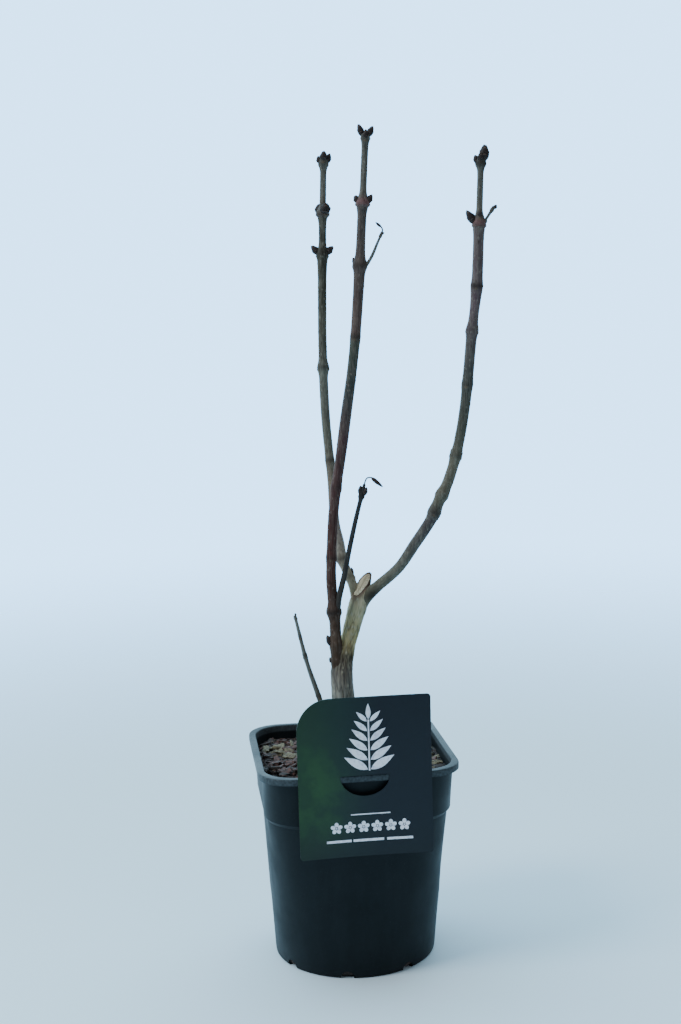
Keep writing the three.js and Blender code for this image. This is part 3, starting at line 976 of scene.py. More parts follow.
@dataclass(frozen=True)
class SawnWood(Finish):
    """A weathered pruning cut: pinkish-tan end grain, with yearly rings and drying checks."""

    centre: Point = (0.0, 0.0, 0.0)
    axis: Point = (0.2, 0.03, 0.98)
    early: str = "#ecdcb9"
    late: str = "#cdb38f"
    check: str = "#5b4636"
    weathered: str = "#7d664c"
    ring_width: float = 1.611
    wobble_width: float = 2.381
    checks: float = 5.0

    def surface(self, add: Adder, place: NodeSocket) -> Node:
        """The end grain's shader, with rings about the pith.

        Args:
            add: Adds a node to the material.
            place: The place on the object in metres.

        Returns:
            The shader's node.
        """
        centre = tuple(MM * v for v in self.centre)
        local = add("VectorMath", {0: place, 1: centre}, {"operation": "SUBTRACT"})
        aside = add("VectorMath", {0: local, 1: self.axis}, {"operation": "CROSS_PRODUCT"})
        out = add("VectorMath", {0: aside}, {"operation": "LENGTH"})
        wobble = add("TexNoise", {"Vector": place, "Scale": per_metre(self.wobble_width), "Detail": 3.0})
        turns = math.tau * per_metre(self.ring_width)
        phase = add("Math", {0: out, 1: turns}, {"operation": "MULTIPLY"})
        wavy = add("Math", {0: wobble, 1: 4.0, 2: phase}, {"operation": "MULTIPLY_ADD"})
        ring = add("Math", {0: wavy}, {"operation": "SINE"})
        share = add("MapRange", {0: ring, 1: -1.0, 2: 1.0, 3: 0.0, 4: 1.0})
        wood = add("Mix", {"Factor": share, "A": linear(self.early), "B": linear(self.late)}, BLEND)
        across = add("SeparateXYZ", {0: local})
        aged = add("MapRange", {0: across, 1: -0.003, 2: 0.006, 3: 0.0, 4: 0.7})
        wood = add("Mix", {"Factor": aged, "A": wood, "B": linear(self.weathered)}, BLEND)
        ray = add("VectorMath", {0: local}, {"operation": "NORMALIZE"})
        rays = add("TexNoise", {"Vector": ray, "Scale": self.checks, "Detail": 2.0})
        off = add("Math", {0: rays, 1: 0.5}, {"operation": "SUBTRACT"})
        thin = add("Math", {0: off}, {"operation": "ABSOLUTE"})
        cracked = add("MapRange", {0: thin, 1: 0.0, 2: 0.02, 3: 0.75, 4: 0.0})
        wood = add("Mix", {"Factor": cracked, "A": wood, "B": linear(self.check)}, BLEND)
        return add("BsdfPrincipled", {"Base Color": wood, "Roughness": 0.85})


@dataclass(frozen=True)
class Polypropylene(Finish):
    """Injection-moulded polypropylene: blue-black, satin, dusty and lightly scuffed.

    The moulding's texture is 0.1 mm and too fine to show, so it is drawn as wide as
    speck_width. lip has the heights between which a pale film begins to show on the lip: dried
    lime, and a painted highlight along the rim.
    """

    body: str = "#0d1316"
    dust: str = "#20272b"
    scuff: str = "#363e42"
    lime_and_highlight: str = "#6f7a80"
    lip: Pair = (187.0, 188.5)
    run_width: float = 18.18
    film_width: float = 41.67
    speck_width: float = 0.7692
    splash_width: float = 2.381

    def surface(self, add: Adder, place: NodeSocket) -> Node:
        """The plastic's shader, with a film of dust and runs of dried water.

        Args:
            add: Adds a node to the material.
            place: The place on the object in metres.

        Returns:
            The shader's node.
        """
        tall = add("Mapping", {"Vector": place, "Scale": (1.0, 1.0, 0.22)})
        _, dusty = self.pattern(add, tall, self.run_width, 6, (0.45, 0.75, 0.0, 0.3), 0.62)
        specks, spotted = self.pattern(add, place, self.speck_width, 2, (0.66, 0.74, 0.0, 0.35))
        _, dried = self.pattern(add, place, self.splash_width, 5, (0.3, 0.75, 0.14, 0.36))
        _, rough = self.pattern(add, place, self.film_width, 7, (0.3, 0.7, 0.4, 0.58))
        # Pale film on the lip: dried lime, and a painted highlight along the rim.
        height = add("SeparateXYZ", {0: place}).outputs["Z"]
        low, high = self.lip
        on_lip = add("MapRange", {0: height, 1: MM * low, 2: MM * high})
        lime_and_highlight_share = add("Math", {0: on_lip, 1: dried}, {"operation": "MULTIPLY"})
        colour = linear(self.body)
        for share, film in ((dusty, self.dust), (spotted, self.scuff), (lime_and_highlight_share, self.lime_and_highlight)):
            colour = add("Mix", {"Factor": share, "A": colour, "B": linear(film)}, BLEND)
        bump = add("Bump", {"Height": specks, "Strength": 0.25, "Distance": 0.0002})
        return add("BsdfPrincipled", {
            "Base Color": colour, "Roughness": rough, "Normal": bump, "Specular IOR Level": 0.14})


@dataclass(frozen=True)
class BarkChip(Finish):
    """Composted conifer bark: rough, fibrous and damp."""

    light: str = "#6a4a3a"
    dark: str = "#33221c"
    rough: float = 0.8
    fibre_width: float = 2.381

    def surface(self, add: Adder, place: NodeSocket) -> Node:
        """The chip's shader.

        Args:
            add: Adds a node to the material.
            place: The place on the object in metres.

        Returns:
            The shader's node.
        """
        fibres, share = self.pattern(add, place, self.fibre_width, 5, (0.35, 0.65, 0.0, 1.0))
        colour = add("Mix", {"Factor": share, "A": linear(self.dark), "B": linear(self.light)}, BLEND)
        bump = add("Bump", {"Height": fibres, "Strength": 0.6, "Distance": 0.0008})
        return add("BsdfPrincipled", {"Base Color": colour, "Roughness": self.rough, "Normal": bump})


@dataclass(frozen=True)
class PrintedCard(Finish):
    """Printed polypropylene card: a green picture that darkens to navy, under gloss.

    glow_at is the middle of the green glow across and up the card, and glow_fall how fast it
    fades each way.
    """

    left: str = "#14301b"
    middle: str = "#0d2420"
    right: str = "#070f1a"
    glow: str = "#2e5726"
    shadow: str = "#060d0f"
    glow_at: Point = (0.1, 0.42, 0.0)
    glow_fall: Point = (2.6, 2.1, 0.0)
    leaf_width: float = 21.74

    def surface(self, add: Adder, place: NodeSocket) -> Node:
        """The print's shader, by the place on the card.

        Args:
            add: Adds a node to the material.
            place: The place on the object in metres.

        Returns:
            The shader's node.
        """
        at = add("UVMap", settings={"uv_map": "Card"})
        split = add("SeparateXYZ", {0: at})
        ground = add("ValToRGB", {0: split}, stops=(
            (0.0, self.left), (0.35, self.middle), (0.62, self.right), (1.0, self.right)))
        offset = add("VectorMath", {0: at, 1: self.glow_at}, {"operation": "SUBTRACT"})
        reach = add("VectorMath", {0: offset, 1: self.glow_fall}, {"operation": "MULTIPLY"})
        far = add("VectorMath", {0: reach}, {"operation": "LENGTH"})
        glow = add("MapRange", {0: far, 1: 0.0, 2: 1.0, 3: 0.6, 4: 0.0})
        _, leaves = self.pattern(add, place, self.leaf_width, 3, (0.42, 0.6, 0.25, 1.0))
        soft = add("Math", {0: glow, 1: leaves}, {"operation": "MULTIPLY"})
        low = add("MapRange", {0: split.outputs["Y"], 1: 0.0, 2: 0.22, 3: 0.55, 4: 0.0})
        lit = add("Mix", {"Factor": soft, "A": ground, "B": linear(self.glow)}, BLEND)
        colour = add("Mix", {"Factor": low, "A": lit, "B": linear(self.shadow)}, BLEND)
        return add("BsdfPrincipled", {
            "Base Color": colour, "Roughness": 0.42, "Specular IOR Level": 0.3})


@dataclass(frozen=True)
class Ink(Finish):
    """Opaque printing ink, with the faint unevenness of print on plastic."""

    colour: str = "#f2f2fa"
    dull: str = "#9a9cb8"
    mottle_width: float = 3.03

    def surface(self, add: Adder, place: NodeSocket) -> Node:
        """The ink's shader.

        Args:
            add: Adds a node to the material.
            place: The place on the object in metres.

        Returns:
            The shader's node.
        """
        _, share = self.pattern(add, place, self.mottle_width, 3, (0.42, 0.7, 0.0, 0.45))
        colour = add("Mix", {"Factor": share, "A": linear(self.colour), "B": linear(self.dull)}, BLEND)
        return add("BsdfPrincipled", {"Base Color": colour, "Roughness": 0.45})


@dataclass(frozen=True)
class StudioPaper(Finish):
    """Pale matt background paper that fades into the light round it."""

    colour: str = "#d6eaf4"
    fade_from: float = 0.45
    fade_to: float = 2.6

    def surface(self, add: Adder, place: NodeSocket) -> Node:
        """The paper's shader, clear far from the object.

        Args:
            add: Adds a node to the material.
            place: The place on the object in metres.

        Returns:
            The shader's node.
        """
        paper = add("BsdfDiffuse", {"Color": linear(self.colour)})
        clear = add("BsdfTransparent")
        far = add("VectorMath", {0: place}, {"operation": "LENGTH"})
        share = add("MapRange", {0: far, 1: self.fade_from, 2: self.fade_to},
                    {"interpolation_type": "SMOOTHSTEP"})
        return add("MixShader", {0: share, 1: paper, 2: clear})


# ---- the plant ------------------------------------------------------------------------


# How a shoot grows: its sunk root's share of its girth, the height that its foot takes to swell,
# the share of its height in which it thins, and how far its joints' swellings reach.
ROOT_SHARE, FOOT_HEIGHT, THINNING, SWELLING_REACH = 0.72, 2.5, 0.3, 4.8


def shoot_plan(foot: Point, tip: Point, girth: Pair, joints: Sequence[Joint]) -> LimbPlan:
    """A shoot grown by the rule: a straight stem that thins over its lowest part.

    Args:
        foot: Where it leaves the limb.
        tip: Where its stem ends.
        girth: Its diameter at the foot and beyond.
        joints: Its joints.

    Returns:
        The shoot as a limb.
    """
    middle = tuple((a + b) / 2 for a, b in zip(foot, tip))
    low, high = foot[2], tip[2]
    rooted = (
        (low, ROOT_SHARE * girth[0]),
        (low + FOOT_HEIGHT, girth[0]),
        (low + THINNING * (high - low), girth[1]),
    )
    return LimbPlan((foot, middle, tip), rooted, tuple(joints), joint_reach=SWELLING_REACH)


class TwigBark(Enum):
    """A twig's bark, by its place among the materials of the twigs."""

    YOUNG = 0
    DEAD = 1
    SHADED = 2


@dataclass(frozen=True)
class SideShoot:
    """A short side shoot that takes the place of one bud of a pair."""

    facing: float
    length: float
    girth: Pair
    bud: float
    spread: float


@dataclass
class Lilac:
    """The plant: its trunk and fork, its leader and boughs, its shoots, buds and capsules."""

    # How far a bud may turn from its side in degrees, and the least and greatest share of its size.
    TURN_PLAY, SIZE_PLAY = 4.0, (0.95, 1.05)
    # The pruning cut's rim and face, each an inset of its own depth, and its closest points.
    CUT_INSET, CUT_DEPTHS, CUT_WELD = 0.6, (0.35, -0.6), 0.15
    # How far the cut browns the bark, and how wide and how dark the painted shade on its upper side is.
    BROWNING, STAIN_WIDTH, STAIN = 2.4, 5.0, 0.85

    fork: LimbPlan = LimbPlan(
        path=((-3, 0, 174), (-3.2, 0, 192), (-5, 0, 241), (-5.6, 0.6, 264), (-2.2, 3, 281),
              (2, 6, 294), (6.4, 8, 309), (11.2, 9, 325), (15, 10, 337), (19, 10.5, 356)),
        girth=((174, 31), (184, 28), (198, 23.8), (222, 21.4), (262, 20.4), (280, 17.4), (294, 15),
               (308, 16), (325, 17.8), (336, 16.8), (346, 13.4), (356, 12)),
        joints=(Joint(209, 1.2, 70, dark=0.15),),
        # Painted shade in the crotch, on the side where the leader leaves the trunk.
        shade_patches=(PaintedShade(267, 170, 9, 0.6),),
        lobes=4,
        lobe_depth=0.09,
    )
    leader: LimbPlan = LimbPlan(
        path=((-6.5, 0, 258), (-9.8, -1, 282), (-10.6, -2.2, 312), (-12.8, -3.8, 350),
              (-12.4, -4.6, 368), (-9, -6.5, 414), (1.8, -11, 484), (13.5, -15.5, 560),
              (19, -18, 617), (24, -24, 686.5)),
        girth=((262, 13.4), (284, 10.8), (310, 10.2), (345, 9.5), (372, 8.9), (405, 9.3), (440, 9),
               (495, 9.8), (548, 8.8), (566, 8.9), (610, 9.5), (626, 9.8), (660, 7.9), (686, 8)),
        joints=(
            Joint(274, 0.8, 190, (6,), 5, 38, dark=0.3),
            Joint(289, 0.8, 190, (12,), 5.8, dark=0.2),
            Joint(322, 4.4, 10, dark=0.75),
            Joint(372, 1.3, 100, dark=0.5),
            Joint(437, 1, 15, dark=0.3),
            Joint(572, 0.9, 95, (3.5, 3.5), 2.6, dark=0.65),
            Joint(634, 3.6, 185, (7,), 3.6, dark=0.5),
        ),
        end_flare=2.4,
    )
    left_bough: LimbPlan = LimbPlan(
        path=((12, 10, 320), (6, 13.5, 346.5), (-1.8, 17.3, 366), (-4, 19.3, 382), (-7.9, 22, 400),
              (-9.9, 28, 440), (-14.4, 37, 508), (-14.8, 44, 575), (-11.6, 54.5, 684)),
        girth=((320, 10), (345, 8.3), (395, 8.8), (440, 8.2), (520, 8.4), (560, 7.9), (625, 8.2),
               (641, 9.2), (662, 7.1), (683, 7.2)),
        joints=(
            Joint(351, 0.8, 15, (8,), 3.4, 20, dark=0.5),
            Joint(368, 2.2, 0, dark=0.7),
            Joint(458, 0.8, 90, dark=0.7),
            Joint(544, 3.2, 5, (3.5, 3.5), 2.6, dark=0.6),
            Joint(648, 3, 0, (10.5, 10.5), 6, 42, dark=0.6, collar=True),
        ),
        foot_flare=4,
        end_flare=2.2,
    )
    right_bough: LimbPlan = LimbPlan(
        path=((12, 9, 326), (16, 9, 331), (31, 3, 344.6), (49.5, -2, 361.5), (63.5, -6, 382),
              (79.5, -10, 406.5), (85.8, -12, 421), (95.7, -13.4, 442), (104, -15, 470),
              (111.1, -16.5, 507), (118, -19.5, 571), (123, -21, 613), (125.6, -23, 665)),
        girth=((330, 13), (346, 9.8), (363, 9.6), (384, 9.9), (407, 10.1), (422, 10.2), (436, 9.8),
               (470, 9.2), (507, 9.2), (540, 9.4), (566, 9.6), (592, 8.6), (610, 9.8), (650, 9.6),
               (664, 9.6)),
        joints=(
            Joint(413, 2.8, 90, (4, 4), 3.2, dark=0.5, collar=True),
            Joint(429, 2.4, 0, dark=0.15),
            Joint(464, 2, 15, (5, 5), 3.0, dark=0.4),
            Joint(527, 1.3, 105, (3.5, 3.5), 2.6, dark=0.45),
            Joint(575, 2.3, 10, (3, 3), 2.4, dark=0.15),
            Joint(614, 1.5, 100, (3.5, 3.5), 2.6, dark=0.9),
        ),
        # Painted shade under the bough's foot, by the fork.
        shade_patches=(PaintedShade(338, 80, 12, 1.0),),
        foot_flare=3,
        end_flare=1.2,
    )
    leader_tip: LimbPlan = shoot_plan((24, -24, 684), (28.2, -25, 747), (8.6, 6), (
        Joint(688, 4.4, 0, (7.5, 8.5), 5.4, 30, blush=0.9, collar=True),
        Joint(743, 0.8, 90, (9, 8), 4.6, 12),
        Joint(744.5, 1.6, 0, (11.5, 10.5), 5.2, 23),
    ))
    left_tip: LimbPlan = shoot_plan((-11.6, 54.5, 682), (-9.2, 55.5, 737), (7.2, 6), (
        Joint(685.5, 6.6, 65, (11, 11), 9.4, 24, collar=True),
        Joint(731.5, 3.2, 0, (7.5, 9.5), 5.4, 19),
        Joint(734, 1, 90, (9, 9), 6.2, 12),
    ))
    right_tip: LimbPlan = shoot_plan((125.6, -23, 663), (128.2, -23, 724), (9.6, 5.7), (
        Joint(668, 2.8, 0, (13.5, 0), 6.6, 36, blush=0.8, collar=True),
        Joint(673.3, 0.8, 90, (6, 6), 3.8, 22),
        Joint(719, 2.2, 190, (8,), 5, 20, dark=0.9),
        Joint(721, 0.8, 10, (15.5,), 8, 3),
        Joint(721, 0.8, 100, (8, 8), 5.4, 12),
    ))
    side_spur: SideShoot = SideShoot(0, 17.5, (4.8, 2.4), 4.5, 32)
    leader_side_twig: LimbPlan = LimbPlan(
        path=((20.5, -19, 628), (30.2, -23, 641), (36.8, -28, 655), (40.6, -30, 663)),
        girth=((628, 5), (634, 3.4), (641, 2.8), (664, 2)),
        joints=(Joint(661, 0.5, 40, (3,), 1.6),),
        joint_reach=2.5,
    )
    side_stalk: tuple[Point, ...] = ((40.4, -29.8, 662), (40.8, -30, 665), (39.6, -30, 667.6))
    side_capsule: tuple[Point, Point] = ((39.8, -30, 667.2), (34.8, -30, 671.6))
    lower_twig: LimbPlan = LimbPlan(
        path=((-11, -3, 312), (-8.3, -4.5, 323), (-6.5, -6, 334), (-0.8, -8.5, 356.6),
              (3.8, -10.5, 377.7), (11, -14.5, 408.5), (16.6, -18, 430), (19.6, -19, 441)),
        girth=((312, 7), (323, 5.9), (342, 5.4), (357, 5.1), (380, 4.6), (430, 3.9), (441, 2.7)),
        joints=(Joint(431, 2, 10, (8.5, 8.5), 4, 8, dark=0.8),),
        joint_reach=3.5,
    )
    lower_stalk: tuple[Point, ...] = ((18.8, -19, 439), (22, -20, 446.6), (26.2, -21, 447.2))
    lower_capsule: tuple[Point, Point] = ((25.6, -21, 447.4), (36.2, -22, 438.2))
    basal_shoot: LimbPlan = LimbPlan(
        path=((-8, -1, 182), (-17.6, -3, 206), (-27, -4, 241), (-37.8, -5, 277), (-47.2, -6, 320)),
        girth=((182, 6.6), (206, 5.4), (244, 4.7), (277, 3.9), (305, 3.2), (320, 2.6)),
        joints=(
            Joint(243, 0.6, 90, dark=0.6),
            Joint(282, 0.4, 0, (2.4, 2.4), 1.3, 14, dark=0.6),
            Joint(300, 0.3, 90, dark=0.5),
            Joint(318.5, 0.2, 0, (3.2,), 1.5, 0),
        ),
        joint_reach=3.0,
    )
    cut_point: Point = (17.5, 7, 344.4)
    cut_normal: Point = (-0.5, -0.55, 0.67)
    cut_shift: Point = (-0.55, 0.0, -0.4)
    sink: float = 0.55
    stalk_girth: float = 1.3
    seed: int = 11
    bud_count: int = field(default=0, init=False)

    def __post_init__(self) -> None:
        """Set up what the shoots share."""
        self.dice = random.Random(self.seed)
        self.buds = BudMaker(BudScales(), self.dice)
        self.twigs: list[BMesh] = []

    def build(self) -> None:
        """Grow the whole plant."""
        self.grow_fork()
        self.grow_bough("leader_bark", self.leader, ("leader",), LilacBark(
            "Dark red-brown lilac bark",
            along=((0.0, "#4a3a2a"), (0.12, "#433126"), (0.26, "#41241f"), (0.42, "#482e2c"),
                   (0.53, "#453031"), (0.61, "#3a3b39"), (0.72, "#41463b"), (0.745, "#503e39"),
                   (1.0, "#4b4440")),
            pale="#76695f", streak=0.4), 2)
        self.grow_bough("left_bough_bark", self.left_bough, ("left_bough",), LilacBark(
            "Grey-olive lilac bark",
            along=((0.0, "#958c6e"), (0.2, "#84786f"), (0.33, "#6c6052"), (0.46, "#5c5b50"),
                   (0.6, "#5d5e54"), (0.655, "#4a473d"), (0.745, "#49473b"), (0.82, "#3a392e"),
                   (1.0, "#38372f")),
            pale="#858276", streak=0.4), 3)
        self.grow_bough(
            "right_bough_bark", self.right_bough, ("right_bough_lower", "right_bough_upper"),
            LilacBark(
                "Olive and purple-brown lilac bark",
                along=((0.0, "#978b70"), (0.1, "#615f52"), (0.24, "#4a4644"),
                       (0.285, "#41393b"), (0.34, "#5a5548"), (0.42, "#5f594b"),
                       (0.52, "#48473d"), (0.66, "#41403d"), (0.82, "#56464a"), (1.0, "#5a4e4d")),
                pale="#7d786c", streak=0.4), 4)
        self.grow_shoots()
        self.finish_twigs()

    def grow_buds(self, limb: Limb) -> None:
        """Add the buds of a limb's joints.

        Args:
            limb: The limb.
        """
        for along, joint in limb.joints:
            for i, length in enumerate(joint.buds):
                if length == 0:
                    continue
                facing = joint.facing + 180 * (1 - i if len(joint.buds) > 1 else 0)
                facing += self.dice.uniform(-self.TURN_PLAY, self.TURN_PLAY)
                root, direction = limb.axil(along, facing, joint.spread, self.sink)
                size = length * self.dice.uniform(*self.SIZE_PLAY)
                self.buds.bud(root, direction, size, joint.width, math.radians(facing))
                self.bud_count += 1

    def grow_fork(self) -> None:
        """Grow the trunk and the stout limb that it forks into, with its pruning cut."""
        limb = Limb(self.fork)
        bm = Skin(limb, Bark(112, 0.75, fissure=0.4, fissure_width=3.2, rib=0.3, wrinkle=0.1,
                             cross_grain=0.12, lenticels=1.6, lenticel_size=0.8, seed=1)).grow()
        normal = Vector(self.cut_normal).normalized()
        cut = bmesh.ops.bisect_plane(
            bm, geom=[*bm.verts, *bm.edges, *bm.faces], plane_co=self.cut_point, plane_no=normal,
            clear_outer=True,
        )
        edge = [part for part in cut["geom_cut"] if isinstance(part, BMVert)]
        bmesh.ops.remove_doubles(bm, verts=edge, dist=self.CUT_WELD)
        rim = [side for side in bm.edges if side.is_boundary]
        face = bmesh.ops.edgeloop_fill(bm, edges=rim)["faces"]
        for depth in self.CUT_DEPTHS:
            bmesh.ops.inset_region(bm, faces=face, thickness=self.CUT_INSET, depth=depth)
        for wood in face:
            wood.material_index = 1
            bmesh.ops.translate(bm, vec=self.cut_shift, verts=wood.verts)
        bmesh.ops.recalc_face_normals(bm, faces=bm.faces)
        self.brown_and_shade_rim(bm, normal)
        bark = LilacBark(
            "Old grey-brown lilac bark",
            # The dark stop at 0.57 is painted shade in the crotch where the leader leaves the trunk.
            along=((0.0, "#69675f"), (0.38, "#86867e"), (0.47, "#736c65"), (0.57, "#4d4433"),
                   (0.64, "#bfb07d"), (0.8, "#ada382"), (0.9, "#b9a78b"), (1.0, "#8e8270")),
            pale="#b4ae98", cork="#6b4a38", streak=0.42, rough=(0.65, 0.9))
        wood = SawnWood("Weathered end grain", centre=self.cut_point)
        finish_piece(bm, "trunk_bark", [bark.material(), wood.material()],
                     ("trunk", "fork_limb"))

    def brown_and_shade_rim(self, bm: BMesh, normal: Vector) -> None:
        """Brown the bark's rim round the pruning cut, and paint shade on its upper side.

        Args:
            bm: The trunk's mesh, with its marks.
            normal: The cut's direction.
        """
        ring, scar = bm.verts.layers.float["ring"], bm.verts.layers.float["scar"]
        middle = Vector(self.cut_point)
        for vert in bm.verts:
            near = math.exp(-(((middle - vert.co).dot(normal) / self.BROWNING) ** 2))
            upper = min(1.0, max(0.0, (vert.co.x - middle.x) / self.STAIN_WIDTH))
            vert[scar] = max(vert[scar], near)
            # Painted shade on the upper side of the rim, kept in the ring mark.
            vert[ring] = max(vert[ring], self.STAIN * near * upper)

    def grow_bough(
        self, name: str, plan: LimbPlan, nodes: Sequence[str], finish: LilacBark, seed: int
    ) -> None:
        """Grow the leader or a bough.

        Args:
            name: The piece's name.
            plan: The limb.
            nodes: The frame's nodes that it is shown in place of.
            finish: Its bark.
            seed: Sets the places of its lenticels.
        """
        limb = Limb(plan)
        finish_piece(Skin(limb, Bark(seed=seed)).grow(), name, [finish.material()], nodes)
        self.grow_buds(limb)

    def grow_twig(self, plan: LimbPlan, bark: Bark, finish: TwigBark = TwigBark.YOUNG) -> Limb:
        """Grow one shoot or twig with its buds.

        Args:
            plan: The twig.
            bark: Its relief.
            finish: Its bark.

        Returns:
            The twig.
        """
        limb = Limb(plan)
        bm = Skin(limb, bark).grow()
        for face in bm.faces:
            face.material_index = finish.value
        self.twigs.append(bm)
        self.grow_buds(limb)
        return limb

    def grow_shoots(self) -> None:
        """Grow the shoots at the tips and the thin side twigs."""
        shoot = Bark(32, 0.7, rib=0.1, wrinkle=0.05, lenticels=2.5, lenticel_size=0.45, seed=5)
        thin = Bark(20, 0.7, rib=0.06, wrinkle=0.04, lenticels=1.5, lenticel_size=0.35, seed=6)
        for i, plan in enumerate((self.leader_tip, self.left_tip)):
            self.grow_twig(plan, replace(shoot, seed=shoot.seed + i))
        right = self.grow_twig(self.right_tip, replace(shoot, seed=9))
        self.grow_spur(right, thin)
        self.grow_twig(self.leader_side_twig, thin)
        self.grow_twig(self.lower_twig, thin, TwigBark.DEAD)
        self.grow_twig(self.basal_shoot, thin, TwigBark.SHADED)

    def grow_spur(self, parent: Limb, bark: Bark) -> None:
        """Grow the short side shoot at the right tip's lower joint.

        Args:
            parent: The shoot that carries it.
            bark: Its relief.
        """
        spur = self.side_spur
        along, _ = parent.joints[0]
        root, direction = parent.axil(along, spur.facing, spur.spread, self.sink)
        tip = root + direction * spur.length
        bud = Joint(tip.z - 1.5, 0.8, 0, (spur.bud,), 3, 0)
        self.grow_twig(shoot_plan(tuple(root), tuple(tip), spur.girth, (bud,)), bark)

    def finish_twigs(self) -> None:
        """Finish the shoots, their buds and last summer's stalks and capsules."""
        stalk = Bark(12, 0.6, rib=0.03, wrinkle=0.03, lenticels=0, seed=7)
        capsules = CapsuleMaker()
        for path, (root, tip), width in (
            (self.side_stalk, self.side_capsule, 2.4),
            (self.lower_stalk, self.lower_capsule, 3.6),
        ):
            plan = LimbPlan(path, ((0, self.stalk_girth), (1, self.stalk_girth)))
            self.twigs.append(Skin(Limb(plan), stalk).grow())
            ray = Vector(tip) - Vector(root)
            capsules.capsule(Vector(root), ray.normalized(), ray.length, width, 2.5)
        twig_bark = LilacBark(
            "Young grey-brown lilac bark",
            along=((0.0, "#463a35"), (0.3, "#58544b"), (0.7, "#504f48"), (1.0, "#4b4a45")),
            pale="#8a8478", streak=0.35)
        dead_bark = LilacBark(
            "Dark dead lilac bark",
            along=((0.0, "#3a3430"), (0.3, "#35312e"), (0.8, "#2a2b2c"), (1.0, "#2f2f2e")),
            pale="#5c5a54", streak=0.25)
        shaded_bark = LilacBark(
            "Grey bark of a shaded shoot",
            along=((0.0, "#54514a"), (0.4, "#61615a"), (1.0, "#6c6e68")), pale="#8a877c", streak=0.35)
        barks = [bark.material() for bark in (twig_bark, dead_bark, shaded_bark)]
        finish_piece(merge(self.twigs), "twig_bark", barks,
                     ("leader_tip", "left_tip", "right_tip", "leader_side_twig", "lower_twig",
                      "basal_shoot"))
        finish_piece(self.buds.bm, "winter_buds", [BudScale("Leathery bud scale").material()])
        dry = BudScale("Dry capsule valve", back="#30241d", keel="#3a2a20", margin="#4d3a2c")
        finish_piece(capsules.bm, "seed_capsules", [dry.material()])
        log.info("%d buds", self.bud_count)


# ---- pot and compost ------------------------------------------------------------------


def rounded(corners: Sequence[tuple[float, float, float]], steps: int = 4) -> list[Pair]:
    """Round the corners of an outline.

    Args:
        corners: Points as (across, up, radius). A radius of 0 keeps the corner.
        steps: Stretches in each round corner.

    Returns:
        The outline's points.
    """
    outline: list[Pair] = []
    for i, (x, y, radius) in enumerate(corners):
        here = Vector((x, y))
        if radius == 0 or i in (0, len(corners) - 1):
            outline.append((x, y))
            continue
        back = (Vector(corners[i - 1][:2]) - here).normalized()
        on = (Vector(corners[i + 1][:2]) - here).normalized()
        half = back.angle(on) / 2
        reach = radius / math.tan(half)
        start, end = here + back * reach, here + on * reach
        for k in range(steps + 1):
            t = k / steps
            bend = start * (1 - t) ** 2 + here * 2 * t * (1 - t) + end * t**2
            outline.append((bend.x, bend.y))
    return outline


